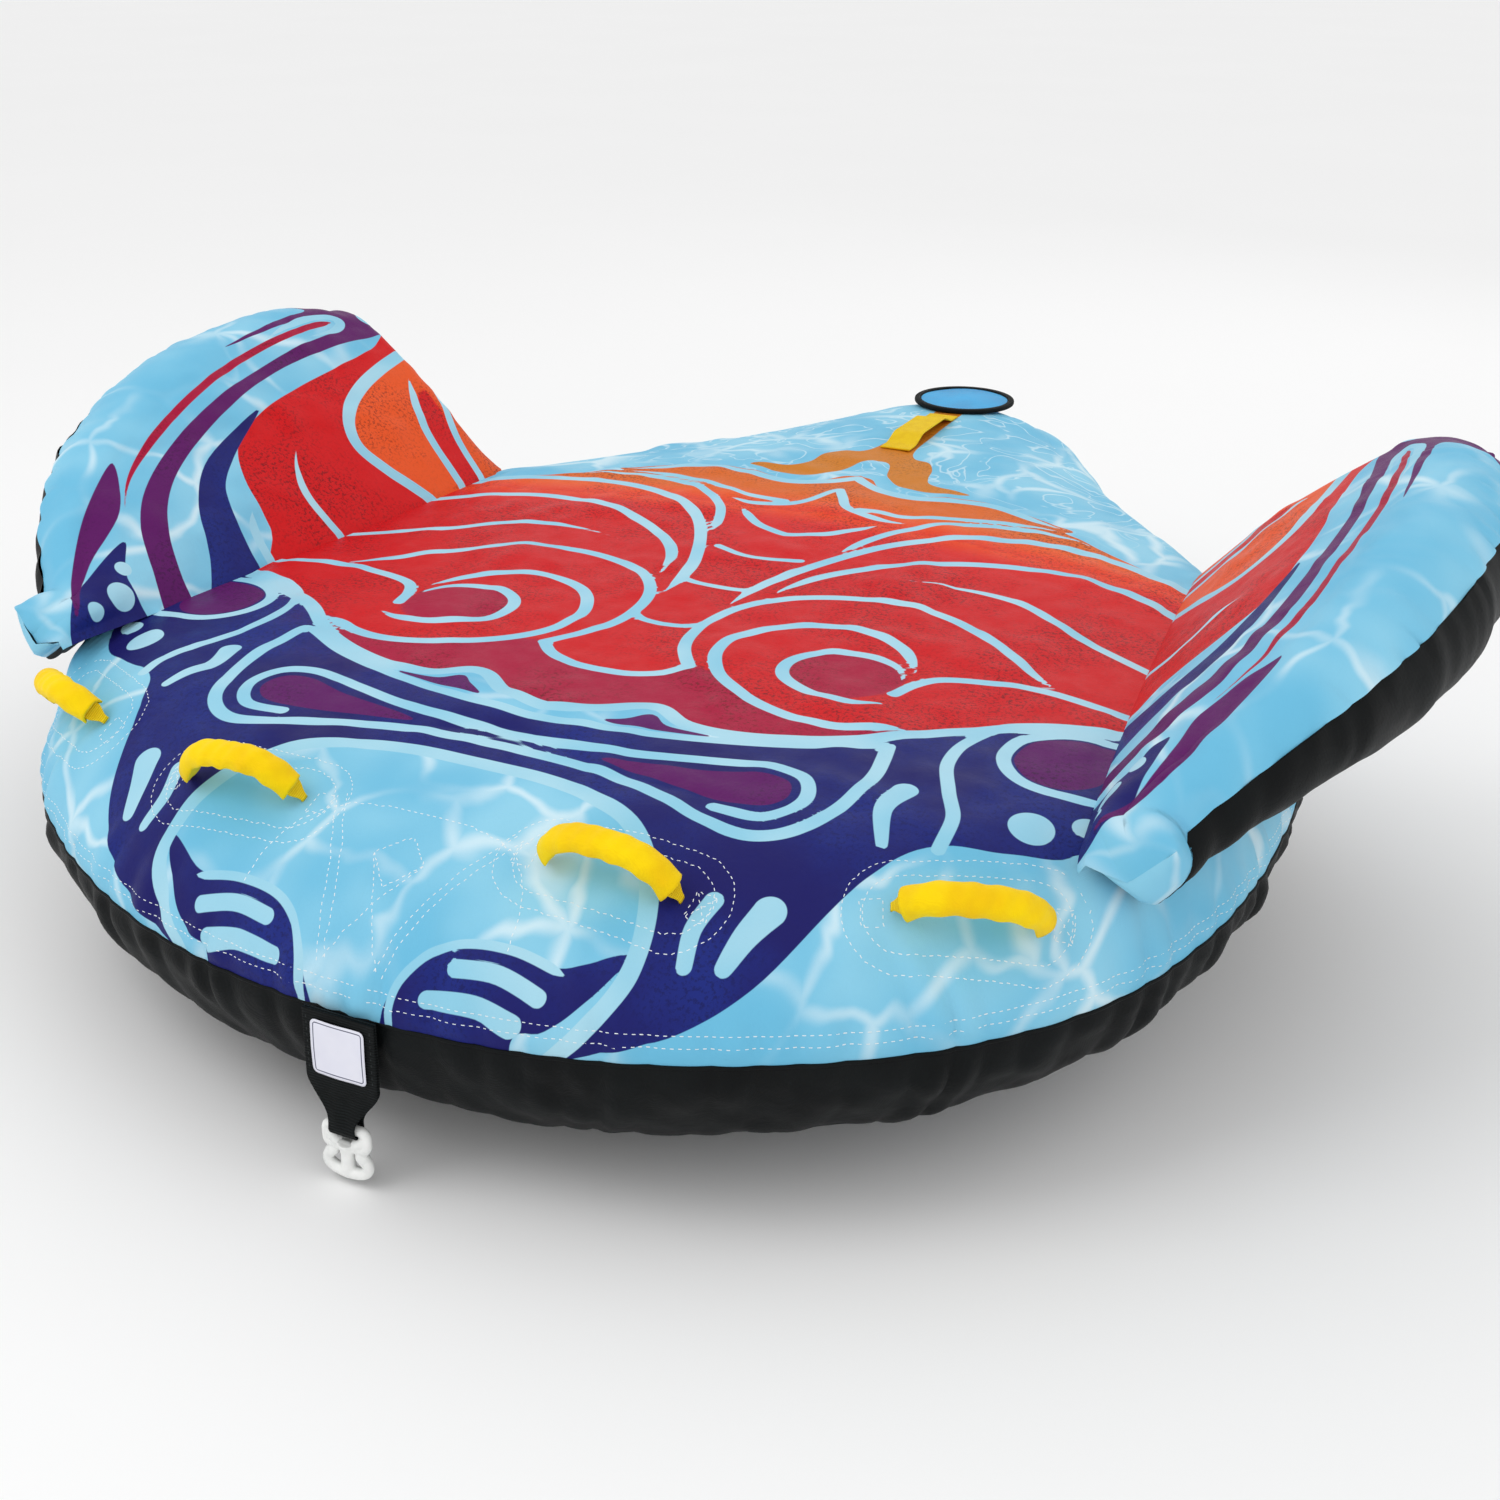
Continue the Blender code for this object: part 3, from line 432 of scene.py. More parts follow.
# The patterns are in millimetres: on the deck across and along, on a wing along and up the slope.
# A line is its half width, the shares over which its two ends thin out, and its points.
FRONT_EDGE = [(0, -571), (60, -556), (114, -518), (165, -545), (225, -545), (300, -520), (370, -478),
    (430, -425), (500, -382), (620, -325)]
DECK_LINES = [
    (7.2, (0.15, 0.35), [(352, -392), (310, -408), (255, -402), (205, -370), (193, -325), (215, -285),
        (262, -266), (310, -280), (334, -320), (338, -362)]),
    (6.8, (0.0, 0.0), [(338, -362), (348, -325), (372, -292), (430, -272), (500, -264), (620, -292)]),
    (7.5, (0.1, 0.05), [(344, -300), (300, -228), (222, -193), (150, -218), (108, -285), (110, -355),
        (150, -415), (225, -462), (300, -476), (385, -448)]),
    (7.2, (0.0, 0.15), [(98, -402), (64, -345), (50, -270), (66, -185), (128, -114), (225, -82),
        (314, -100), (393, -157), (457, -221), (510, -262)]),
    (6.8, (0.0, 0.0), [(0, -450), (40, -446), (74, -428), (98, -402)]),
    (5.5, (0.0, 0.0), [(0, -284), (28, -279), (50, -262)]),
    (5.5, (0.0, 0.0), [(0, -130), (30, -129), (54, -122)]),
    (5.5, (0.0, 0.0), [(0, -8), (30, -4), (62, 10)]),
    (6.2, (0.5, 0.0), [(186, -21), (255, 2), (329, 6), (393, -14), (471, -79), (620, -165)]),
    (7.5, (0.15, 0.0), [(79, -143), (107, -43), (171, 36), (257, 93), (343, 119), (429, 121), (520, 85),
        (640, 0)]),
    (7.8, (0.1, 0.0), [(46, -190), (56, -100), (86, 0), (143, 110), (214, 178), (286, 210), (371, 219),
        (457, 207), (529, 171), (640, 120)]),
    (6.5, (0.1, 0.3), [(96, 60), (130, 160), (190, 228), (257, 258), (330, 262), (430, 238)]),
    (6.2, (0.0, 0.2), [(0, 100), (22, 108), (60, 130), (110, 186)]),
    (6.6, (0.0, 0.3), [(0, 300), (18, 268), (45, 226), (100, 206), (150, 215)]),
    (7.8, (0.0, 0.25), [(0, 372), (40, 338), (95, 318), (165, 335), (230, 340), (300, 312), (360, 285)]),
    (6.2, (0.0, 0.3), [(60, 232), (130, 238), (200, 262), (280, 282), (365, 276)]),
    (8.5, (0.0, 0.0), FRONT_EDGE),
    (6.2, (0.0, 0.0), [(0, -596), (90, -592), (190, -573), (290, -540), (375, -496)]),
    (7.4, (0.0, 0.0), [(383, -496), (394, -560), (388, -630), (368, -690), (325, -722), (265, -716),
        (190, -690), (100, -668), (-20, -660)]),
    (6.8, (0.0, 0.0), [(-20, -634), (129, -632), (225, -612), (290, -596), (335, -608), (350, -650),
        (322, -690), (270, -692)]),
    (6.6, (0.1, 0.0), [(660, -322), (585, -334), (525, -352), (478, -388), (454, -440), (452, -500),
        (474, -560), (496, -610), (500, -660)]),
    (7, (0.1, 0.1), [(660, -378), (590, -364), (540, -376), (503, -412), (500, -460), (526, -496),
        (570, -508), (660, -502)]),
    (8.5, (0.0, 0.0), [(0, -703), (75, -706), (143, -721), (214, -757), (268, -825), (290, -900),
        (276, -960), (240, -1030)]),
    (4.6, (0.1, 0.1), [(60, -1050), (64, -985), (105, -938), (170, -924), (235, -930)]),
]
# A bar is its half width at both ends, and its points. A dot is its centre and radius.
DECK_BARS = [
    (10, 8, [(330, -810), (326, -845), (336, -880)]),
    (17, 9, [(385, -800), (376, -832), (372, -866)]),
    (14, 6, [(434, -580), (428, -625), (448, -680)]),
    (9, 9, [(120, -957), (165, -950), (215, -957)]),
    (9, 12, [(100, -993), (150, -985), (198, -990)]),
]
DECK_DOTS = [(569, -580, 24), (618, -550, 15)]
DECK_WARM = [(-100, -571), *FRONT_EDGE, (660, -300), (660, 100), (620, 125), (530, 178), (430, 236),
    (355, 272), (362, 285), (300, 322), (220, 350), (160, 345), (95, 326), (45, 345), (8, 380), (-100, 360)]
DECK_OCHRE = [(-80, 460), (12, 460), (40, 395), (90, 352), (180, 370), (115, 388), (98, 415), (90, 455),
    (72, 490), (45, 500), (30, 545), (26, 660), (24, 800), (30, 900), (-80, 900)]
DECK_NAVY = [
    [(-100, -600), (100, -595), (240, -562), (340, -515), (430, -435), (520, -378), (645, -330),
     (660, -420), (635, -575), (565, -626), (490, -662), (455, -720), (436, -780), (407, -871), (357, -940),
     (270, -1000), (235, -1040), (284, -930), (284, -860), (245, -785), (195, -742), (110, -708),
     (-100, -700)],
    [(58, -1060), (62, -985), (100, -938), (170, -924), (225, -924), (282, -890), (262, -945), (235, -982),
     (205, -1000), (205, -1060)],
]
DECK_PLUM = [
    [(516, -410), (545, -386), (590, -376), (650, -386), (615, -425), (605, -470), (575, -496), (535, -490),
     (510, -455)],
    [(120, -652), (225, -634), (285, -614), (322, -620), (332, -650), (308, -674), (262, -678),
     (190, -668)],
    [(82, -578), (105, -558), (125, -541), (150, -558), (205, -560), (150, -572)],
]
DECK_CRIMSON = [(-100, -590), (100, -600), (280, -560), (420, -460), (385, -448), (300, -476), (225, -462),
    (150, -415), (98, -402), (40, -446), (-100, -450)]
DECK_SPIRAL = (264, -336, 71)
WING_LINES = [
    (9, (0.1, 0.0), [(300, 252), (170, 228), (80, 202), (15, 165), (-12, 115), (8, 60), (45, 0),
        (75, -60)]),
    (7, (0.3, 0.0), [(195, 200), (155, 140), (132, 75), (125, -50)]),
    (6.2, (0.3, 0.0), [(250, 200), (215, 130), (185, 60), (175, -50)]),
    (6, (0.6, 0.1), [(-112, 152), (-148, 110), (-165, 55), (-150, -50)]),
    (6.4, (0.4, 0.0), [(-272, 75), (-292, 35), (-300, -50)]),
    (6.6, (0.3, 0.3), [(-20, 328), (60, 345), (135, 348), (168, 330), (135, 314), (50, 314)]),
]
WING_DOTS = [(-545, 22, 19), (-515, 56, 11), (-592, 14, 11), (228, 325, 15)]
WING_RED = [(-290, -60), (-262, 40), (-245, 120), (-205, 178), (-130, 212), (-30, 235), (80, 250),
    (170, 262), (320, 285), (320, -60)]
WING_NAVY = [
    [(-435, -60), (-385, 30), (-345, 105), (-270, 170), (-130, 218), (-230, 160), (-290, 110), (-315, 30),
     (-335, -60)],
    [(-665, -60), (-640, 5), (-585, 50), (-485, 92), (-520, 40), (-535, -60)],
]
WING_PLUM = [
    [(-500, -60), (-478, 40), (-430, 125), (-330, 195), (-180, 255), (0, 298), (140, 312), (160, 330),
     (150, 350), (50, 350), (-80, 340), (60, 364), (130, 372), (130, 400), (100, 470), (220, 500),
     (300, 420), (300, 300), (215, 285), (100, 285), (-40, 272), (-200, 225), (-330, 165), (-405, 100),
     (-440, 30), (-455, -60)],
    [(-625, 12), (-565, 85), (-490, 155), (-400, 212), (-455, 135), (-545, 80)],
]
WING_STRIPE = [(-472, 108), (-400, 180), (-300, 235), (-170, 285), (-40, 318), (80, 331), (155, 331)]
WING_ORANGE = [(300, 252), (170, 228), (80, 202), (15, 165), (-12, 115), (8, 60), (45, 0), (75, -80),
    (340, -80), (360, 200)]
WING_LEAF = [(150, 135), (132, 75), (125, -80), (178, -80), (185, 60), (200, 160)]


def deck_print(obj, plan):
    """The deck's pattern of swirls and waves, alike on both sides of the centre line."""
    uv = np.stack([np.abs(plan[:, 0]), plan[:, 1]], -1)
    bands = Bands(uv)
    for low, high, points in DECK_BARS:
        bands.bar(points, low, high)
    bands.pattern(obj, DECK_LINES, DECK_DOTS)
    x, y, radius = np.array(DECK_SPIRAL) / 1000.0
    deep = np.minimum(blob(uv, DECK_CRIMSON), np.hypot(uv[:, 0] - x, uv[:, 1] - y) - radius)
    glow = 0.22 + 0.78 * smooth((uv[:, 1] - 0.13 + 0.12 * uv[:, 0]) / 0.17)
    glow = glow + 0.16 * smooth((uv[:, 1] + 0.05) / 0.25) * (glow < 0.5)
    set_attribute(obj, "warm", blob(uv, DECK_WARM))
    set_attribute(obj, "tail", blob(uv, DECK_OCHRE))
    set_attribute(obj, "navy", blobs(uv, *DECK_NAVY))
    set_attribute(obj, "plum", blobs(uv, *DECK_PLUM))
    set_attribute(obj, "glow", np.clip(glow, 0, 1) * smooth(0.5 + deep / 0.006))


def wing_print(obj, plan):
    """The wing's pattern of long sweeping stripes."""
    uv = plan[:, :2]
    Bands(uv).pattern(obj, WING_LINES, WING_DOTS)
    stripe = Bands(uv)
    stripe.stroke(WING_STRIPE, 0.0065, (0.35, 0.1))
    hot = smooth(0.5 - blob(uv, WING_ORANGE) / 0.008) * smooth(0.5 + blob(uv, WING_LEAF) / 0.008)
    set_attribute(obj, "warm", np.minimum(blob(uv, WING_RED), stripe.far))
    set_attribute(obj, "tail", np.full(len(uv), 1.0))
    set_attribute(obj, "navy", blobs(uv, *WING_NAVY))
    set_attribute(obj, "plum", blobs(uv, *WING_PLUM))
    set_attribute(obj, "glow", (0.24 + 0.52 * hot) * smooth(0.5 + stripe.far / 0.006))


# ---- materials ----
class Nodes:
    """Short calls for building a material's nodes."""

    def __init__(self, name):
        self.material = bpy.data.materials.new(name)
        self.material.use_nodes = True
        self.tree = self.material.node_tree
        self.shader = self.tree.nodes["Principled BSDF"]

    def feed(self, node, key, value):
        if isinstance(value, bpy.types.NodeSocket):
            self.tree.links.new(value, node.inputs[key])
        else:
            node.inputs[key].default_value = value

    def add(self, kind, inputs=None, **settings):
        """A node with its settings, and with a value or a link for each of the inputs."""
        node = self.tree.nodes.new("ShaderNode" + kind)
        for key, value in settings.items():
            setattr(node, key, value)
        for key, value in (inputs or {}).items():
            self.feed(node, key, value)
        return node

    def shade(self, **values):
        """Sets or links the shader's sockets, whose names have underscores for spaces here."""
        for key, value in values.items():
            self.feed(self.shader, key.replace("_", " "), value)
        return self.material

    def math(self, operation, a, b=0.0):
        return self.add("Math", {0: a, 1: b}, operation=operation).outputs[0]

    def ramp(self, value, low, high, to_low=0.0, to_high=1.0, kind="SMOOTHSTEP"):
        inputs = {"Value": value, "From Min": low, "From Max": high, "To Min": to_low, "To Max": to_high}
        return self.add("MapRange", inputs, interpolation_type=kind).outputs["Result"]

    def mix(self, share, a, b):
        return self.add("Mix", {0: share, 6: a, 7: b}, data_type="RGBA").outputs[2]

    def attribute(self, name, output="Fac"):
        return self.add("Attribute", attribute_name=name).outputs[output]

    def axes(self, vector):
        return self.add("SeparateXYZ", {0: vector}).outputs

    def place(self):
        return self.add("TexCoord").outputs["Object"]

    def noise(self, vector, scale, detail=3.0, roughness=0.55, distortion=0.0, output="Fac"):
        inputs = {"Vector": vector, "Scale": scale, "Detail": detail, "Roughness": roughness,
                  "Distortion": distortion}
        return self.add("TexNoise", inputs).outputs[output]

    def ribs(self, vector, axis, pitch, distortion):
        """Rounded ribs across an axis, a pitch apart."""
        inputs = {"Vector": vector, "Scale": math.pi / 10.0 / pitch, "Distortion": distortion}
        return self.add("TexWave", inputs, bands_direction=axis).outputs["Fac"]

    def weave(self, vector, pitch):
        """Height of a plain weave: two crossed sets of threads."""
        return self.math("MAXIMUM", *[self.ribs(vector, axis, pitch, 0.4) for axis in ("X", "Y")])

    def colours(self, value, *stops):
        """Colours along a value, from (place, code) pairs."""
        node = self.add("ValToRGB", {0: value})
        elements = node.color_ramp.elements
        elements[0].position, elements[0].color = stops[0][0], rgb(stops[0][1])
        elements[1].position, elements[1].color = stops[-1][0], rgb(stops[-1][1])
        for place, code in stops[1:-1]:
            elements.new(place).color = rgb(code)
        return node.outputs[0]

    def bump(self, height, strength, distance, before=None):
        inputs = {"Height": height, "Strength": strength, "Distance": distance}
        if before is not None:
            inputs["Normal"] = before
        return self.add("Bump", inputs).outputs[0]


def rgb(code):
    """Linear colour, with alpha, of an sRGB code such as "8FD6EE"."""
    out = []
    for k in (0, 2, 4):
        c = int(code[k:k + 2], 16) / 255.0
        out.append(c / 12.92 if c <= 0.04045 else ((c + 0.055) / 1.055) ** 2.4)
    return (*out, 1.0)


def water_light(n, plan, soft, dense_tail):
    """Share of the pale network of light that the water's print shows."""
    warp = n.noise(plan, 7.0, 2.0, 0.5, 0.6, "Color")
    warped = n.add("VectorMath", {0: warp, 1: (0.10, 0.10, 0.0), 2: plan}, operation="MULTIPLY_ADD")
    cells = n.add("TexVoronoi", {"Vector": warped.outputs[0], "Scale": 7.5}, feature="DISTANCE_TO_EDGE")
    net = n.ramp(cells.outputs["Distance"], 0.0, 0.085, 1.0, 0.0)
    net = n.math("MULTIPLY", net, n.ramp(soft, 0.40, 0.62, 0.05, 0.75))
    if not dense_tail:
        return net
    ring = n.noise(plan, 9.0, 1.5, 0.5, 1.8)
    scribble = n.ramp(n.math("ABSOLUTE", n.math("SUBTRACT", ring, 0.5)), 0.0, 0.026, 0.60, 0.0)
    at_tail = n.ramp(n.axes(plan)["Y"], 0.22, 0.45)
    return n.math("MAXIMUM", net, n.math("MULTIPLY", scribble, at_tail))


def printed_material(name, dense_tail=False):
    """Coated polyester cover with its printed pattern."""
    n = Nodes(name)
    plan = n.attribute("plan", "Vector")
    soft = n.noise(plan, 5.0, 2.0)
    colour = n.mix(n.ramp(soft, 0.35, 0.7), rgb("6CBBDD"), rgb("90CFE8"))
    colour = n.mix(water_light(n, plan, soft, dense_tail), colour, rgb("D9EEF6"))
    line = n.mix(n.ramp(soft, 0.35, 0.65), rgb("8ECBE3"), rgb("ABD8E9"))
    patches = n.noise(plan, 6.0)
    grit = n.math("MULTIPLY", n.ramp(n.noise(plan, 190.0, 4.0, 0.75), 0.50, 0.60),
                  n.ramp(patches, 0.40, 0.62, 0.10, 1.0))
    warm = n.colours(n.attribute("glow"), (0.0, "A80C3A"), (0.10, "AE0E38"), (0.20, "CC0C16"),
                     (0.40, "D61A15"), (0.62, "E4441C"), (0.80, "E65A20"), (1.0, "D8661C"))
    navy = n.mix(n.ramp(patches, 0.35, 0.7), rgb("1B1A62"), rgb("1C2A7C"))
    fills = (("warm", warm, 0.80, "5C0C14"), ("tail", rgb("CC7A1C"), 0.6, "7E4812"),
             ("navy", navy, 0.45, "120C30"), ("plum", rgb("5C1260"), 0.6, "2C0A30"))
    for which, ink, worn, grit_code in fills:
        ink = n.mix(n.math("MULTIPLY", grit, worn), ink, rgb(grit_code))
        colour = n.mix(n.ramp(n.attribute(which), -LINE_EDGE, LINE_EDGE, 1.0, 0.0), colour, ink)
    x, y, half_width = n.axes(n.attribute("lines_near", "Vector"))
    far = n.math("SQRT", n.math("ADD", n.math("MULTIPLY", x, x), n.math("MULTIPLY", y, y)))
    far = n.math("MAXIMUM", n.math("SUBTRACT", far, half_width),
                 n.math("SUBTRACT", n.attribute("lines"), 0.0007))
    colour = n.mix(n.ramp(far, -LINE_EDGE, LINE_EDGE, 1.0, 0.0), colour, line)
    rough = n.ramp(n.noise(plan, 30.0), 0.3, 0.7, 0.42, 0.56, "LINEAR")
    creases = n.bump(n.noise(plan, 38.0, 4.0, 0.6, 0.8), 0.30, 0.0022)
    threads = n.bump(n.weave(plan, 0.0011), 0.25, 0.0003, creases)
    return n.shade(Base_Color=colour, Roughness=rough, Specular_IOR_Level=0.12, Normal=threads)


def cloth_material(name, low, high, roughness=0.6, pitch=0.0011, crease=0.35, sheen=0.25, shine=0.3):
    """Plain woven cloth in two close tones, with painted shade in the weave's grooves."""
    n = Nodes(name)
    place = n.place()
    tone = n.noise(place, 12.0, 4.0, 0.6)
    fine = n.weave(place, pitch)
    base = n.mix(n.ramp(tone, 0.3, 0.7), rgb(low), rgb(high))
    # Painted shade: where the weave is low, between the threads, the colour is darkened towards the low
    # tone.
    base = n.mix(n.math("MULTIPLY", n.ramp(fine, 0.2, 0.8, 1.0, 0.0), 0.25), base, rgb(low))
    rough = n.ramp(tone, 0.3, 0.7, roughness - 0.06, roughness + 0.06, "LINEAR")
    creases = n.bump(n.noise(place, 45.0, 4.0, 0.6, 0.7), crease, 0.002)
    return n.shade(Base_Color=base, Roughness=rough, Sheen_Weight=sheen, Sheen_Roughness=0.45,
                   Specular_IOR_Level=shine, Normal=n.bump(fine, 0.4, 0.0004, creases))


def webbing_material(name, low, high, rib):
    """Woven webbing whose ribs cross it, by the length along it in metres."""
    n = Nodes(name)
    along = n.attribute("along", "Vector")
    ribs = n.ribs(along, "X", rib, 0.6)
    tone = n.ramp(n.noise(along, 60.0), 0.35, 0.7, 0.0, 0.5)
    # Painted shade and highlight: the ribs' troughs take the darker tone and their crests the lighter one;
    # the noise tone on top varies at random.
    base = n.mix(tone, n.mix(ribs, rgb(low), rgb(high)), rgb(low))
    threads = n.bump(n.ribs(along, "Y", 0.0016, 0.0), 0.3, 0.0003, n.bump(ribs, 0.8, 0.0007))
    return n.shade(Base_Color=base, Roughness=0.62, Specular_IOR_Level=0.12, Normal=threads)


def plastic_material(name, low, high, roughness):
    """Moulded plastic with a faint mottle."""
    n = Nodes(name)
    place = n.place()
    tone = n.noise(place, 40.0)
    return n.shade(Base_Color=n.mix(n.ramp(tone, 0.3, 0.7), rgb(low), rgb(high)),
                   Roughness=n.ramp(tone, 0.3, 0.7, roughness - 0.05, roughness + 0.07, "LINEAR"),
                   Normal=n.bump(n.noise(place, 400.0, 2.0), 0.08, 0.0004))


def label_material():
    """Pale label with a thin border, by the distance from its edge."""
    n = Nodes("blank_label")
    place = n.place()
    face = n.mix(n.noise(place, 30.0, 2.0), rgb("DADBEA"), rgb("ECECF6"))
    edge = n.attribute("edge")
    border = n.math("MULTIPLY", n.ramp(edge, -0.0042, -0.0038), n.ramp(edge, -0.0030, -0.0026, 1.0, 0.0))
    return n.shade(Base_Color=n.mix(border, face, rgb("4A4C66")), Roughness=0.42,
                   Normal=n.bump(n.weave(place, 0.0008), 0.2, 0.0002))


PRINT_DECK = printed_material("printed_deck", True)
PRINT_WING = printed_material("printed_wing")
BLACK = cloth_material("black_cover_cloth", "050708", "0D1112", 0.50, crease=0.5, sheen=0.0, shine=0.12)
YELLOW_FOAM = cloth_material("yellow_sleeve", "F4C400", "FFDC00", 0.75, 0.0012, 0.4, 0.08, 0.15)
YELLOW_WEB = webbing_material("yellow_web", "E8B90A", "FFE028", 0.0022)
BLACK_WEB = webbing_material("black_web", "040606", "161B1C", 0.0031)
BINDING = webbing_material("black_bound_edge", "050707", "14191A", 0.0018)
THREAD = cloth_material("white_thread", "E4ECEF", "F6FAFB", 0.5, 0.0006, 0.1, 0.1)
YELLOW_THREAD = cloth_material("yellow_thread", "D9AC10", "EFC828", 0.5, 0.0006, 0.1, 0.1)
BLACK_THREAD = cloth_material("black_thread", "101415", "23292B", 0.5, 0.0006, 0.1, 0.1)
DISC = cloth_material("blue_disc", "0095D2", "14ACE6", 0.6, 0.0014, 0.2, 0.2)
WHITE_PLASTIC = plastic_material("white_hook", "E6E8E6", "F4F5F3", 0.28)
GREY_PLASTIC = plastic_material("grey_valve", "4A4D50", "5C6064", 0.42)
VINYL = plastic_material("blue_vinyl", "1E2A38", "2A3848", 0.35)
METAL = plastic_material("zip_metal", "6E7174", "8A8D90", 0.32)
PATCH = cloth_material("inner_patch_cloth", "101416", "1B2022", 0.8, 0.0018, 0.2, 0.1)


# ---- where the handles are ----
def handle_frames():
    """Each handle's middle and its axes, from its joint: X from slit to slit, Z off the deck."""
    found = {}
    cover = tree_of(frame["nodes"]["deck_top_cover"])
    for joint in frame["joints"]:
        if not joint["name"].startswith("handle_swing_"):
            continue
        origin = Vector(joint["pos_m"])
        along = Vector(joint["axis"]).normalized()
        up = cover.ray_cast(Vector((origin.x, origin.y, 1.0)), Vector((0, 0, -1)))[1]
        across = up.cross(along).normalized()
        up = along.cross(across).normalized()
        turn = Matrix((along, across, up)).transposed().to_4x4()
        turn.translation = origin
        found[joint["name"].replace("handle_swing_", "")] = turn
    return found


HANDLES = handle_frames()


# ---- deck ----
DECK_STEP = 0.0066
HEM_GATHERS, HEM_SEED = 118, 5
SWELL, SWELL_SOFTENING = 0.060, 26
# Height, seed, size and the distance over which they fade out towards the hem.
DECK_LUMPS = [(0.0030, 11, 0.21, 0.10), (0.0011, 17, 0.060, 0.05)]
FLAP_Y, FLAP_CLEAR, FLAT_LIFT = 0.868, 0.10, 0.0005


def deck_rows():
    """Rows round the whole deck: t, side, and each row's share of the way round."""
    half = rows_along(lambda t: deck(t, HEM)[0], 0.0, LAST, DECK_STEP)
    share = np.linspace(0, 0.5, len(half))
    t = np.concatenate([half, half[-2:0:-1]])
    side = np.concatenate([np.ones(len(half)), -np.ones(len(half) - 2)])
    around = np.concatenate([share, 1.0 - share[-2:0:-1]])
    return t, side, around


ROWS = deck_rows()


def deck_line(p):
    """Points right round the deck at p."""
    t, side, _ = ROWS
    points = deck(t, np.full(len(t), p))[0]
    points[:, 0] *= side
    return points


def hem_pucker(around):
    """How far the hem itself wanders out and in, shared by the covers above and below it."""
    return 0.0030 * puckers(around, np.zeros_like(around), HEM_GATHERS, 0.06, HEM_SEED)


def swell_under_wings(obj, co, away):
    """How far the deck swells up to meet the undersides of the wings' front ends."""
    rise, room = np.zeros(len(co)), np.full(len(co), 1.0)
    for word, side in (("right", 1), ("left", -1)):
        tree = tree_of(frame["nodes"]["wing_back_cover_" + word])
        outboard = (co[:, 0] * side > crease(co[:, 1])) & (co[:, 2] > 0.12)
        for k in np.flatnonzero(outboard & (np.abs(co[:, 1] + 0.42) < 0.28)):
            hit = tree.ray_cast(Vector(co[k]), Vector((0, 0, 1)))[0]
            if hit is not None:
                room[k] = max(hit.z - co[k, 2] - 0.003, 0.0)
                rise[k] = min(room[k], SWELL) * smooth((-0.26 - co[k, 1]) / 0.16)
    rise = rise * smooth((away - 0.015) / 0.11)
    edges = np.zeros(2 * len(obj.data.edges), int)
    obj.data.edges.foreach_get("vertices", edges)
    first, second = edges.reshape(-1, 2).T
    count = np.bincount(edges, minlength=len(co))
    for _ in range(SWELL_SOFTENING):
        total = np.bincount(first, rise[second], len(co)) + np.bincount(second, rise[first], len(co))
        rise = np.where(room < 1.0, np.minimum(total / count, room), total / count)
    rise = rise * smooth((away - 0.010) / 0.07)
    for place in HANDLES.values():
        for end in (-1, 1):
            slit = place @ Vector((end * 0.5 * HANDLE_SPAN, 0, 0))
            rise = rise * smooth((np.hypot(co[:, 0] - slit.x, co[:, 1] - slit.y) - 0.012) / 0.05)
    return rise


def deck_panel(name, p, material):
    """A panel of the deck's cover over p, with its place round the hem and its distance from it."""
    t, side, around = ROWS
    points, plan = deck(t[:, None], p[None, :])
    points[..., 0] *= side[:, None]
    plan[..., 0] *= side[:, None]
    if p[0] < HEM:
        away = np.linalg.norm(plan - plan[:, -1:], axis=-1)
    else:
        steps = np.linalg.norm(np.diff(points, axis=1), axis=-1)
        away = np.concatenate([0 * steps[:, :1], np.cumsum(steps, axis=1)], 1)
    obj = add_mesh(name, points, grid_faces(len(t), len(p), close_rows=True), material)
    set_attribute(obj, "plan", with_zero(plan))
    set_attribute(obj, "hem", with_zero(np.stack([np.broadcast_to(around[:, None], away.shape), away], -1)))
    merge(obj)
    face_out(obj, DECK_MIDDLE)
    hem = read_vectors(obj.data.attributes["hem"].data)
    return obj, get_coords(obj), hem[:, 0], hem[:, 1]


def flat_size(points):
    return np.ptp(points[:, :2], axis=0)


def surface_area(obj):
    return sum(polygon.area for polygon in obj.data.polygons)


def declare_cover(obj, size, area):
    """Works out a cover panel's flat width, length and area, the area kept below their product; nothing uses
    them.
    """
    width, length = (float(side) for side in size)
    area = float(min(area, 0.999 * width * length))


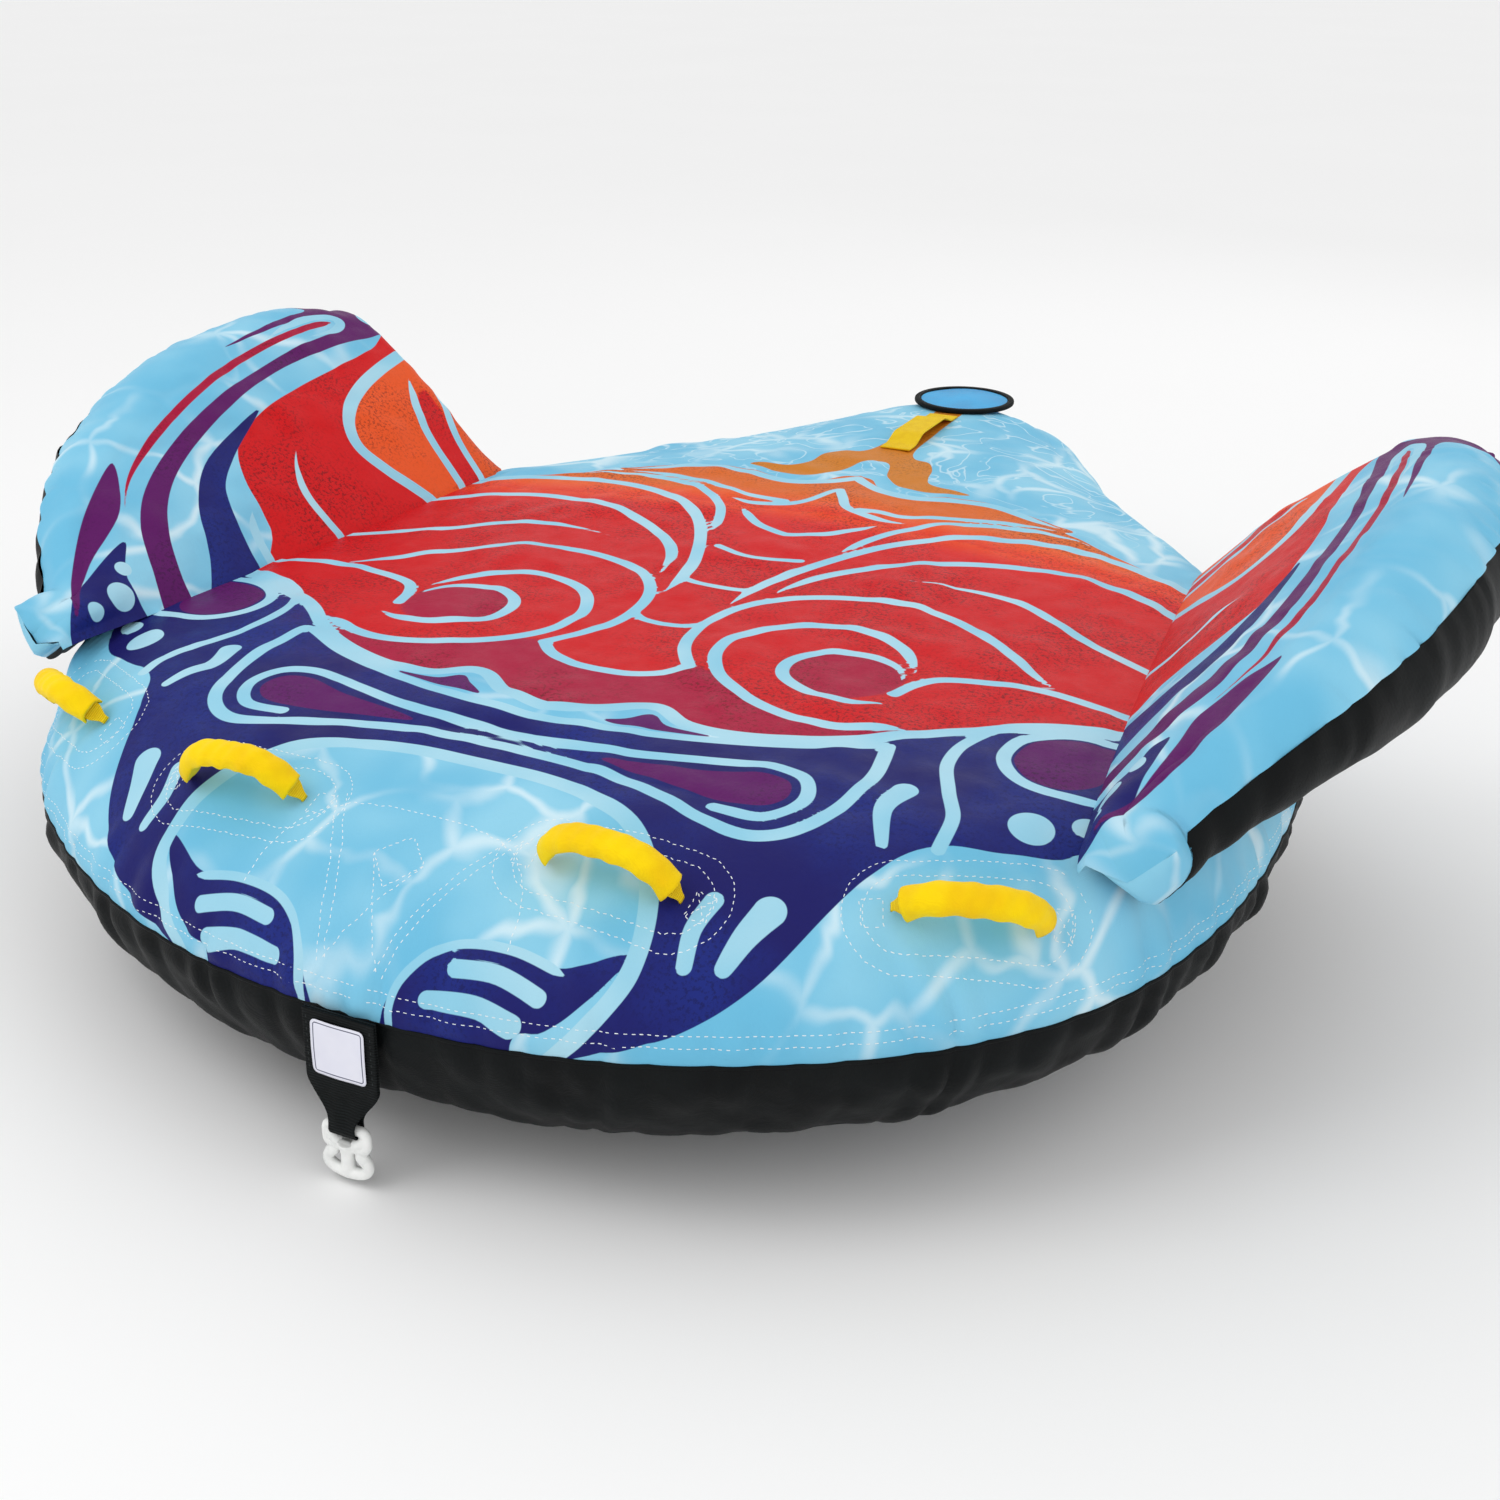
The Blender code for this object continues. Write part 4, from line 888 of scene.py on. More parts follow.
def make_deck_cover():
    p = np.concatenate([np.linspace(0, 1, 74), 1.0 + np.linspace(0, 1, 57)[1:]])
    obj, co, around, away = deck_panel("deck_cover_printed", p, PRINT_DECK)
    plan = read_vectors(obj.data.attributes["plan"].data)
    area = surface_area(obj)
    u, v = plan[:, 0], plan[:, 1]
    lift = 0.0125 * puckers(around, away, HEM_GATHERS, 0.095, HEM_SEED) * smooth(away / 0.02)
    lift = lift + hem_pucker(around) * smooth(1 - away / 0.09)
    for height, seed, size, fade in DECK_LUMPS:
        lift = lift + height * lumps(u, v, seed, size) * smooth(away / fade)
    nose = np.exp(-(u / 0.10) ** 2) * smooth((-v - 0.80) / 0.12)
    lift = lift + 0.0022 * nose * np.abs(np.sin(u * 95.0 + 1.2 * np.sin(v * 40)))
    fold = np.abs(np.abs(co[:, 0]) - crease(co[:, 1]))
    on_fold = (co[:, 1] > WING_FRONT_Y) & (co[:, 1] < WING_REAR_Y + 0.02)
    lift = above_lining(lift - 0.004 * np.exp(-(fold / 0.015) ** 2) * on_fold)
    under_flap = np.hypot(co[:, 0], co[:, 1] - FLAP_Y) < FLAP_CLEAR
    under_strap = (np.abs(co[:, 0]) < 0.035) & (co[:, 1] > 0.50) & (co[:, 1] < 0.79)
    lift = np.where(under_flap | under_strap, np.minimum(lift, FLAT_LIFT), lift)
    displace(obj, lift, swell_under_wings(obj, co, away))
    deck_print(obj, plan)
    put(obj, "root", "printed_cover", "deck_top_cover")
    declare_cover(obj, flat_size(plan), area)
    return obj, plan


def make_deck_bottom():
    p = np.concatenate([np.linspace(2, 3, 30), np.linspace(3, 4, 22)[1:]])
    obj, co, around, away = deck_panel("deck_cover_black", p, BLACK)
    area = surface_area(obj)
    lift = 0.0130 * puckers(around, away, HEM_GATHERS, 0.13, HEM_SEED) * smooth(away / 0.02)
    lift = lift + hem_pucker(around) * smooth(1 - away / 0.3)
    lift = lift + 0.0022 * lumps(co[:, 0] + co[:, 2], co[:, 1] - co[:, 2], 23, 0.09) * smooth(away / 0.04)
    displace(obj, above_lining(lift) * smooth((co[:, 2] - 0.012) / 0.03))
    put(obj, "root", "black_cover", "deck_bottom_cover")
    declare_cover(obj, flat_size(co) + 0.10, area)


def make_hem_bead(radius=0.0022, sides=8):
    """The thin sewn bead round the hem, between the two covers."""
    path = deck_line(HEM)
    facing = path.copy()
    facing[:, 1] -= np.clip(path[:, 1], SPINE_FRONT, SPINE_REAR)
    facing[:, 2] = 0.0
    path += unit(facing) * (hem_pucker(ROWS[2]) + 0.0002)[:, None]
    path[:, 2] -= 0.0012
    forward = unit(np.roll(path, -1, 0) - np.roll(path, 1, 0))
    side = unit(np.cross(forward, (0, 0, 1.0)))
    up = np.cross(side, forward)
    angle = circle(sides)[None, :, None]
    verts = path[:, None] + radius * (np.cos(angle) * side[:, None] + np.sin(angle) * up[:, None])
    obj = add_mesh("hem_bead", verts, grid_faces(len(path), sides, True, True), BLACK)
    face_out(obj)
    put(obj, "root", "black_cover")


# ---- wings ----
WING_STEP, WING_BACK_STEP = 0.0055, 0.009
WING_END_ROWS = np.linspace(WING_END_SEAM, 1.0, 9)
GATHER_PLACE = 0.09
# Height, seed and size.
WING_LUMPS = [(0.0026, 37, 0.17), (0.0010, 39, 0.05)]


def wing_seam(v):
    """How far round the wing's edge its printed cover goes: all the way at the front end."""
    return WING_SEAM + (WING_CAP_SEAM - WING_SEAM) * smooth(-v / WING_CAP_RIM)


def wing_rows(front, step):
    """Rows along a wing, from front to its rear end."""
    rows = rows_along(lambda v: wing(v, 1.0)[0], front, 1 + WING_END_SEAM, step)
    return np.concatenate([rows, 1 + WING_END_ROWS[1:]])


def wing_middle(side):
    middle = wing(np.array([0.5, 0.5]), np.array([0.5, 3.3]))[0].mean(0)
    return Vector((middle[0] * side, middle[1], middle[2]))


def make_wing_front(side, word):
    v = np.concatenate([-WING_END_ROWS[:0:-1], wing_rows(-WING_END_SEAM, WING_STEP)])[:, None]
    f = np.concatenate([np.linspace(0, 1, 66), 1 + np.linspace(0, WING_SEAM - 1, 26)[1:]])[None, :]
    bent = np.where(f <= 1, f, 1 + (f - 1) * (wing_seam(v) - 1) / (WING_SEAM - 1))
    points, plan = wing(v, bent)
    past = v - np.clip(v, 0, 1)
    plan[..., 0] += np.sign(past) * 0.045 * np.abs(past) ** 2
    root = points[:, :1] - np.array([0.006, 0, 0.010])
    points = np.concatenate([root, points], 1)
    plan = with_zero(np.concatenate([plan[:, :1] - np.array([0, 0.011]), plan], 1)).reshape(-1, 3)
    points[..., 0] *= side
    obj = add_mesh("wing_cover_printed_" + word, points, grid_faces(*points.shape[:2]), PRINT_WING)
    face_out(obj, wing_middle(side))
    area = surface_area(obj)
    set_attribute(obj, "plan", plan)
    up, row = np.broadcast_arrays(np.concatenate([[[0]], f], 1), v)
    up, row = up.ravel(), row.ravel()
    to_end = np.minimum(row + 1, 2 - row) * GATHER_PLACE
    to_edge = (WING_SEAM - up) * GATHER_PLACE + GATHER_PLACE * smooth(-row / WING_CAP_RIM)
    seed = int(side)
    x, y = plan[:, 0], plan[:, 1]
    lift = 0.0080 * puckers(x + 0.7, np.maximum(to_edge, 0), 30, 0.070, 31 + seed)
    lift = lift + 0.0035 * puckers(y + 0.2, np.maximum(to_end, 0), 26, 0.040, 41 + seed)
    for height, own_seed, size in WING_LUMPS:
        lift = lift + height * lumps(x, y, own_seed + seed, size) * smooth(up * 3)
    displace(obj, above_lining(lift) * smooth(up * 12))
    wing_print(obj, plan)
    put(obj, "root", "printed_cover", "wing_top_cover_" + word)
    declare_cover(obj, flat_size(plan), area)


def make_wing_back(side, word):
    v = wing_rows(-WING_CAP_RIM, WING_BACK_STEP)[:, None]
    f = np.concatenate([np.linspace(WING_SEAM, 3, 22), np.linspace(3, 4, 34)[1:]])[None, :]
    points = wing(v, 4 - (4 - f) * (4 - wing_seam(v)) / (4 - WING_SEAM))[0]
    points[..., 0] *= side
    obj = add_mesh("wing_cover_black_" + word, points, grid_faces(*points.shape[:2]), BLACK)
    merge(obj, 5e-5)
    face_out(obj, wing_middle(side))
    area = surface_area(obj)
    co = get_coords(obj)
    out, up = co[:, 0] * side - crease(co[:, 1]), co[:, 2] - DECK_Z
    slope = out * math.cos(WING_SLOPE) + up * math.sin(WING_SLOPE)
    depth = out * math.sin(WING_SLOPE) - up * math.cos(WING_SLOPE)
    seed = int(side)
    lift = 0.0090 * puckers(co[:, 1] + 0.7, np.maximum(depth - 0.06, 0.0), 30, 0.08, 31 + seed)
    lift = lift * smooth(depth / 0.03)
    lift = lift + 0.0022 * lumps(co[:, 1], slope + depth, 53 + seed, 0.10) * smooth(slope / 0.08)
    displace(obj, above_lining(lift))
    put(obj, "root", "black_cover", "wing_back_cover_" + word)
    length = np.ptp(co[:, 1])
    declare_cover(obj, (1.25 * area / length, length), area)


# ---- handles ----
# The webbing narrows to WEB_TONGUE at its ends, which go WEB_DEPTH under the slits.
WEB_WIDTH, WEB_TONGUE, WEB_THICK, WEB_DEPTH = 0.0225, 0.0095, 0.0026, 0.003
SLEEVE_SHARE, SLEEVE_HALF_WIDTH, SLEEVE_UP, SLEEVE_DOWN = 0.875, 0.0168, 0.0125, 0.0085


def arch(x):
    """Height of a handle's middle line over the deck."""
    return HANDLE_RISE * (1.0 - np.minimum(np.abs(x) / (0.5 * HANDLE_SPAN), 1.0) ** 3.2)


def ribbon(name, path, across, widths, thickness, material, steps=8):
    """A flat strap with round edges: path is (n, 3), across is (n, 3) or one vector, widths is n values."""
    path = np.asarray(path, float)
    forward = unit(np.gradient(path, axis=0))
    across = unit(np.broadcast_to(np.asarray(across, float), path.shape))
    up = np.cross(across, forward)
    half = 0.5 * thickness
    flat = np.linspace(-1, 1, steps)
    bend = [(math.sin(k * math.pi / 4), math.cos(k * math.pi / 4)) for k in (1, 2, 3)]
    ring = [(s, 0.0, 1.0) for s in flat] + [(1.0, out, high) for out, high in bend]
    ring += [(s, 0.0, -1.0) for s in flat[::-1]] + [(-1.0, -out, -high) for out, high in bend]
    length = run_lengths(path)
    verts, along = [], []
    for i in range(len(path)):
        inner = 0.5 * widths[i] - half
        for s, out, high in ring:
            verts.append(path[i] + across[i] * (s * inner + out * half) + up[i] * high * half)
            along.append((length[i], s * inner, 0.0))
    rows, cols = len(path), len(ring)
    faces = grid_faces(rows, cols, close_cols=True)
    faces += [list(range(cols)), list(range((rows - 1) * cols, rows * cols))[::-1]]
    obj = add_mesh(name, verts, faces, material)
    set_attribute(obj, "along", along)
    face_out(obj)
    return obj


def make_handle(word, place):
    half = 0.5 * HANDLE_SPAN
    x = -half * np.cos(np.linspace(0, math.pi, 61))
    path = np.stack([x, 0 * x, arch(x)], -1)
    path[[0, -1], 2] = -WEB_DEPTH
    widths = WEB_WIDTH - (WEB_WIDTH - WEB_TONGUE) * smooth((np.abs(x) / half - 0.90) / 0.10)
    webbing = ribbon("handle_web_" + word, path, (0.0, 1.0, 0.0), widths, WEB_THICK, YELLOW_WEB)
    webbing.data.transform(place)
    put(webbing, "handle_" + word, "yellow_webbing", "handle_webbing_" + word)
    sleeve = make_sleeve("handle_sleeve_" + word, half, sum(ord(c) for c in word))
    sleeve.data.transform(place)
    put(sleeve, "handle_" + word, "yellow_grip", "handle_grip_" + word)


def make_sleeve(name, half, seed):
    """The padded sleeve, flat-sided and slightly lumpy, with its two side edges longer at its ends."""
    share = np.linspace(-SLEEVE_SHARE, SLEEVE_SHARE, 97)
    sx = share * half
    sz = arch(sx)
    tangent = unit(np.stack([np.gradient(sx), 0 * sx, np.gradient(sz)], -1))
    up = np.stack([-tangent[:, 2], 0 * sx, tangent[:, 0]], -1)
    i, a = np.arange(len(sx))[:, None], circle(40)[None, :]
    tail = smooth((np.abs(share) / SLEEVE_SHARE - 0.84) / 0.16)[:, None]
    swell = 1.0 + 0.05 * np.sin(i * 0.11 + seed) + 0.015 * np.sin(i * 0.37 + 2 * seed)
    side = np.abs(np.cos(a)) ** 6
    tall = np.where(np.sin(a) > 0, SLEEVE_UP, SLEEVE_DOWN) * swell * np.sin(a)
    tall = tall - side * (0.0032 + 0.0022 * tail) - side * 0.0007 * np.sin(i * 0.47 + seed + np.cos(a))
    tall = tall + 0.0006 * np.sin(i * 0.5 + 2 * a) * (1 - np.maximum(0.0, -np.sin(a)))
    wide = SLEEVE_HALF_WIDTH * np.cos(a) + 0.0009 * side * np.sign(np.cos(a)) * np.sin(i * 0.31 + seed)
    reach = 0.0045 * tail * side * np.sign(share)[:, None]
    skin = np.stack([sx, 0 * sx, sz], -1)[:, None] + up[:, None] * tall[..., None]
    skin = skin + tangent[:, None] * reach[..., None] + wide[..., None] * np.array([0, 1.0, 0])
    rows, cols = skin.shape[:2]
    verts, faces = list(skin.reshape(-1, 3)), grid_faces(rows, cols, close_cols=True)
    for row, sign in ((0, -1), (rows - 1, 1)):
        rim = skin[row]
        centre = rim.mean(0)
        first = len(verts)
        verts += list(rim + (centre - rim) * 0.16 + tangent[row] * 0.0008 * sign)
        verts += list(rim + (centre - rim) * 0.20 - tangent[row] * 0.012 * sign)
        for k in range(cols):
            n = (k + 1) % cols
            faces.append([row * cols + k, row * cols + n, first + n, first + k])
            faces.append([first + k, first + n, first + cols + n, first + cols + k])
        faces.append([first + cols + k for k in range(cols)])
    sleeve = add_mesh(name, verts, faces, YELLOW_FOAM)
    face_out(sleeve)
    return sleeve


# ---- stitches ----
STITCH = (0.0046, 0.0030, 0.0011, 0.0006)


def stitch_rows(name, surface, paths, material, body, slot, sizes=STITCH):
    """Rows of thread stitches on a surface's mesh. Sizes are their length, gap, width and height."""
    length, gap, width, height = sizes
    tree = tree_of(surface)
    verts, faces = [], []
    section = [(-0.5, 0.0), (-0.32, 0.75), (0.0, 1.0), (0.32, 0.75), (0.5, 0.0)]
    stations = [(-0.5, 0.45, -0.6), (-0.34, 1.0, 0.9), (0.34, 1.0, 0.9), (0.5, 0.45, -0.6)]
    for path in paths:
        path = np.asarray(path, float)
        total = run_lengths(path)
        count = max(int(total[-1] / (length + gap)), 1)
        for k in range(count):
            middle = (k + 0.5) * total[-1] / count
            ends = [Vector([np.interp(middle + s * 0.5 * length, total, path[:, c]) for c in range(3)])
                    for s in (-1, 1)]
            (start, first_up, *_), (stop, last_up, *_) = [tree.find_nearest(end) for end in ends]
            if (stop - start).length < 0.3 * length:
                continue
            up = (first_up + last_up).normalized()
            forward = (stop - start).normalized()
            across = up.cross(forward).normalized()
            centre = (start + stop) * 0.5
            faces += grid_faces(len(stations), len(section), start=len(verts))
            for along, wide, high in stations:
                for s, t in section:
                    verts.append(tuple(centre + forward * (along * length) + across * (s * width * wide)
                                       + up * (t * height * high - 0.0002)))
    obj = add_mesh(name, verts, faces, material)
    face_out(obj)
    put(obj, body, slot)


def plan_to_deck():
    """A function from the deck's flat plan to points on its skin, by nearest grid sample."""
    t = np.linspace(0, LAST, 1400)
    p = np.concatenate([np.linspace(0, 1, 160), 1 + np.linspace(0, 1, 110)[1:]])
    points, plan = deck(t[:, None], p[None, :])
    points, plan = points.reshape(-1, 3), plan.reshape(-1, 2)
    keep = (plan[:, 1] < -0.45) | (plan[:, 1] > 0.4)
    points, plan = points[keep], plan[keep]
    tree = KDTree(len(plan))
    for i, (u, v) in enumerate(plan):
        tree.insert((u, v, 0.0), i)
    tree.balance()

    def place(line):
        """The line's points on the skin."""
        found = [points[tree.find((abs(u), v, 0.0))[1]] * (-1 if u < 0 else 1, 1, 1) for u, v in line]
        return np.array(found)
    return place


def obround(half_long, half_wide, count=64):
    """Closed outline with round ends, about the origin."""
    a = 2 * math.pi * np.arange(count + 1) / count
    x = half_wide * np.cos(a) + np.copysign(half_long - half_wide, np.cos(a))
    points = np.stack([x, half_wide * np.sin(a)], -1)
    spans = run_lengths(points)
    even = np.linspace(0, spans[-1], 120)
    return np.stack([np.interp(even, spans, points[:, k]) for k in (0, 1)], -1)


def line_between(a, b, count=24):
    a, b = np.array(a, float), np.array(b, float)
    return a + (b - a) * np.linspace(0, 1, count)[:, None]


def box_runs(x0, y0, x1, y1, crossed=True):
    """The sides of a sewn box, with its diagonals if it is crossed."""
    corner = [(x0, y0), (x1, y0), (x1, y1), (x0, y1), (x0, y0)]
    runs = list(zip(corner, corner[1:]))
    if crossed:
        runs += [(corner[0], corner[2]), (corner[1], corner[3])]
    return [line_between(a, b) for a, b in runs]


# Stitches over the tow patch, in millimetres across and along.
NOSE_CURVES = [[(30, -985), (55, -900), (105, -800)], [(40, -990), (65, -905), (115, -805)],
               [(0, -800), (60, -805), (112, -825), (150, -870), (165, -930)]]
NOSE_RUNS = [((-30, -865), (35, -985)), ((30, -865), (-35, -985)), ((0, -835), (-30, -865)),
             ((0, -835), (30, -865)), ((30, -865), (0, -900)), ((-30, -865), (0, -900))]
# The rows' distances from the hem, and what one of p comes to there. A handle's patch: its outlines' half
# length and half width, and the boxes sewn round its slits. All in metres.
HEM_ROWS, SIDE_STEP = (0.018, 0.029), 0.165 * (math.pi / 2.0) / 1.05
PATCH_OUTLINES = [(0.128, 0.058), (0.108, 0.040)]
SLIT_BOX_X, SLIT_BOX_HALF_LONG, SLIT_BOX_HALF_WIDE = 0.0985, 0.011, 0.015


def make_deck_stitches(cover, plan):
    hem_lines = [deck_line(HEM - back / SIDE_STEP) for back in HEM_ROWS]
    hem_lines = [np.vstack([points, points[:1]]) for points in hem_lines]
    stitch_rows("stitches_hem", cover, hem_lines, THREAD, "root", "printed_cover")
    place = plan_to_deck()
    co = get_coords(cover)
    paths = []
    for turn in HANDLES.values():
        near = np.argmin(((co - np.array(turn.translation)) ** 2).sum(1))
        yaw = math.atan2(turn.col[0].y, turn.col[0].x)
        c, s = math.cos(yaw), math.sin(yaw)
        outer = 1 if turn.translation.x > 0 else -1
        lines = [obround(*sizes) for sizes in PATCH_OUTLINES]
        for end in (-1, 1):
            near_x, far_x = end * SLIT_BOX_X - SLIT_BOX_HALF_LONG, end * SLIT_BOX_X + SLIT_BOX_HALF_LONG
            lines += box_runs(near_x, -SLIT_BOX_HALF_WIDE, far_x, SLIT_BOX_HALF_WIDE, end == outer)
        for line in lines:
            paths.append(place(plan[near, :2] + line @ np.array([(c, s), (-s, c)])))
    for s in (-1, 1):
        for run in NOSE_CURVES:
            paths.append(place(dense(run) * (s, 1)))
    for a, b in NOSE_RUNS:
        paths.append(place(line_between(a, b) / 1000.0))
    stitch_rows("stitches_reinforcement", cover, paths, THREAD, "root", "printed_cover")


# ---- tow strap and hook ----
# TOW_EYE is the radius of the loop round the hook's bar, and TOW_PLIES half the space between the plies.
TOW_WIDTH, TOW_NARROW, TOW_THICK, TOW_EYE, TOW_PLIES = 0.086, 0.032, 0.0024, 0.0080, 0.0017


def make_tow_strap():
    """Two plies of webbing, drawn in to the eye that holds the hook."""
    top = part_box("tow_strap")[1].z
    heights = np.linspace(top, HOOK_Z, 110)
    gather = smooth((heights - HOOK_Z - 0.004) / 0.050)
    front_y = STRAP_Y - (TOW_PLIES + (TOW_EYE - TOW_PLIES) * (1 - smooth((heights - HOOK_Z) / 0.034)))
    turn = np.linspace(0, math.pi, 22)[1:-1]
    around = np.stack([0 * turn, STRAP_Y - TOW_EYE * np.cos(turn), HOOK_Z - TOW_EYE * np.sin(turn)], -1)
    front = np.stack([0 * heights, front_y, heights], -1)
    back = np.stack([0 * heights, 2 * STRAP_Y - front_y, heights], -1)[::-1]
    narrow = np.concatenate([gather, 0 * turn, gather[::-1]])
    widths = TOW_NARROW + (TOW_WIDTH - TOW_NARROW) * narrow
    obj = ribbon("tow_webbing", np.concatenate([front, around, back]), (1.0, 0, 0), widths, TOW_THICK,
                 BLACK_WEB, 40)
    co = get_coords(obj)
    pleat = (1 - smooth((co[:, 2] - HOOK_Z) / 0.062)) * smooth((co[:, 2] - HOOK_Z + 0.004) / 0.02)
    pleat = pleat * np.sin(co[:, 0] / (0.5 * TOW_WIDTH) * 11.0)
    co[:, 1] += 0.00096 * pleat * np.where(co[:, 1] < STRAP_Y, 1, -1)
    set_coords(obj, co)
    put(obj, "tow_strap", "black_webbing", "tow_strap")
    y = STRAP_Y - 0.004
    paths = [line_between((x, y, top - 0.006), (x, y, HOOK_Z + 0.060), 30) for x in (-0.038, 0.038)]
    stitch_rows("tow_strap_stitches", obj, paths, BLACK_THREAD, "tow_strap", "black_webbing",
                (0.004, 0.0025, 0.0011, 0.0006))


def make_label(thickness=0.0005, radius=0.006, count=26):
    """The strap's blank label: a thin sheet with round corners, and each point's distance from its edge."""
    lo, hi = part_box("tow_label")
    size, middle = hi - lo, (lo + hi) / 2
    inner_x, inner_z = 0.5 * size.x - radius, 0.5 * size.z - radius
    x, z = np.meshgrid(np.linspace(-0.5 * size.x, 0.5 * size.x, count),
                       np.linspace(-0.5 * size.z, 0.5 * size.z, count), indexing="ij")
    over_x, over_z = np.maximum(np.abs(x) - inner_x, 0), np.maximum(np.abs(z) - inner_z, 0)
    over = np.maximum(over_x, over_z)
    push = np.where((over_x > 0) & (over_z > 0), over / np.maximum(np.hypot(over_x, over_z), 1e-9), 1.0)
    x = np.sign(x) * (np.minimum(np.abs(x), inner_x) + over_x * push)
    z = np.sign(z) * (np.minimum(np.abs(z), inner_z) + over_z * push)
    ripple = 0.0007 * np.sin(x * 120 + 2) * np.cos(z * 75)
    front = np.stack([x, -0.5 * thickness + ripple, z], -1).reshape(-1, 3)
    grid = np.arange(count * count).reshape(count, count)
    rim = [*grid[0], *grid[1:, -1], *grid[-1, -2::-1], *grid[-2:0:-1, 0]]
    faces = grid_faces(count, count) + [f[::-1] for f in grid_faces(count, count, start=grid.size)]
    faces += [(a, b, b + grid.size, a + grid.size) for a, b in zip(rim, rim[1:] + rim[:1])]
    sides = np.concatenate([front, front + (0, thickness, 0)])
    obj = add_mesh("tow_label_blank", sides, faces, label_material())
    set_attribute(obj, "edge", np.tile((over - radius).ravel(), 2))
    face_out(obj)
    obj.data.transform(Matrix.Translation((middle.x, lo.y - 0.0008, middle.z)))
    put(obj, "tow_strap", "label", "tow_label")


def tube_between(points, radii):
    """Mesh of a round limb along points in millimetres across and up."""
    curve = bpy.data.curves.new("limb", "CURVE")
    curve.dimensions = "3D"
    curve.bevel_depth = 1.0
    curve.bevel_resolution = 4
    curve.use_fill_caps = True
    line = curve.splines.new("POLY")
    line.points.add(len(points) - 1)
    for point, (x, z), radius in zip(line.points, points, radii):
        point.co = (x / 1000.0, 0.0, z / 1000.0, 1.0)
        point.radius = radius / 1000.0
    obj = show("limb", curve)
    mesh = evaluated_mesh(obj)
    bpy.data.objects.remove(obj)
    bpy.data.curves.remove(curve)
    return mesh


# The hook, in millimetres across and up from the eye's middle: a ring that is its bar, a stem down from
# it, two arms that curl up from the stem's end, and two shoulders beside the bar.
BAR_X, BAR_TOP, BAR_FOOT, BAR_CORNER, BAR_RADIUS = 18.0, -6.0, -16.0, 6.0, 5.6
STEM = [(0, -18), (0, -30), (0, -42), (0, -50)], [10.5, 7.4, 7.6, 8.5]
ARM = [(17.2, -30.0), (21.5, -34.5), (24.3, -39.5), (23.5, -45.5), (17.5, -50.0), (8.5, -51.8), (0, -52.0)]
ARM_RADII = [0, 0.6, 1.5, 3, 4.5, 6], [6.8, 7.2, 6.2, 6.0, 6.6, 7.4]
SHOULDER = [(10, -18.5), (18.5, -12.0), (24.0, -3.5), (24.5, 1.0)], [6.6, 6.2, 5.0, 3.6]
BALL_RADIUS = 0.0070


def make_hook():
    ring = []
    for side, z, start in ((1, BAR_TOP, 0), (-1, BAR_TOP, 90), (-1, BAR_FOOT, 180), (1, BAR_FOOT, 270)):
        for a in np.radians(np.linspace(start, start + 90, 7)):
            ring.append((side * BAR_X + BAR_CORNER * math.cos(a), z + BAR_CORNER * math.sin(a)))
    ring.append(ring[0])
    meshes = [tube_between(ring, [BAR_RADIUS] * len(ring)), tube_between(*STEM)]
    bm = bmesh.new()
    steps = np.linspace(0, 6, 31)
    for s in (-1, 1):
        meshes.append(tube_between(spline(ARM, steps) * (s, 1), np.interp(steps, *ARM_RADII)))
        meshes.append(tube_between(np.array(SHOULDER[0]) * (s, 1), SHOULDER[1]))
        ball = Matrix.Translation((s * ARM[0][0] / 1000.0, 0, ARM[0][1] / 1000.0))
        bmesh.ops.create_uvsphere(bm, u_segments=20, v_segments=12, radius=BALL_RADIUS, matrix=ball)
    for mesh in meshes:
        bm.from_mesh(mesh)
    joined = bpy.data.meshes.new("tow_hook_plastic")
    bm.to_mesh(joined)
    bm.free()
    joined.materials.append(WHITE_PLASTIC)
    obj = show("tow_hook_plastic", joined)
    remesh = obj.modifiers.new("skin", "REMESH")
    remesh.mode = "VOXEL"
    remesh.voxel_size = 0.0008
    remesh.use_smooth_shade = True
    soften = obj.modifiers.new("soften", "SMOOTH")
    soften.factor = 0.8
    soften.iterations = 7
    mesh = evaluated_mesh(obj)
    obj.modifiers.clear()
    obj.data = mesh
    mesh.shade_smooth()
    mesh.transform(Matrix.Translation((0, STRAP_Y, HOOK_Z)))
    put(obj, "tow_hook", "white_plastic", "tow_hook")


# ---- tail ----
FLAP_HALF_THICK, BINDING_HALF_WIDTH, BINDING_HALF_HEIGHT = 0.0024, 0.0058, 0.0041


def turned(name, profile, steps, material, centre):
    """A turned piece from a closed profile of (radius, height), with lengths for webbing."""
    r, h = np.array(profile).T[:, None, :]
    angle = circle(steps)[:, None]
    verts = np.stack([r * np.cos(angle), r * np.sin(angle), h + 0 * angle], -1)
    obj = add_mesh(name, verts + np.array(centre), grid_faces(*verts.shape[:2], True, True), material)
    set_attribute(obj, "along", with_zero(np.stack([angle * r.max() + 0 * r, r + 0 * angle], -1)))
    face_out(obj)
    return obj


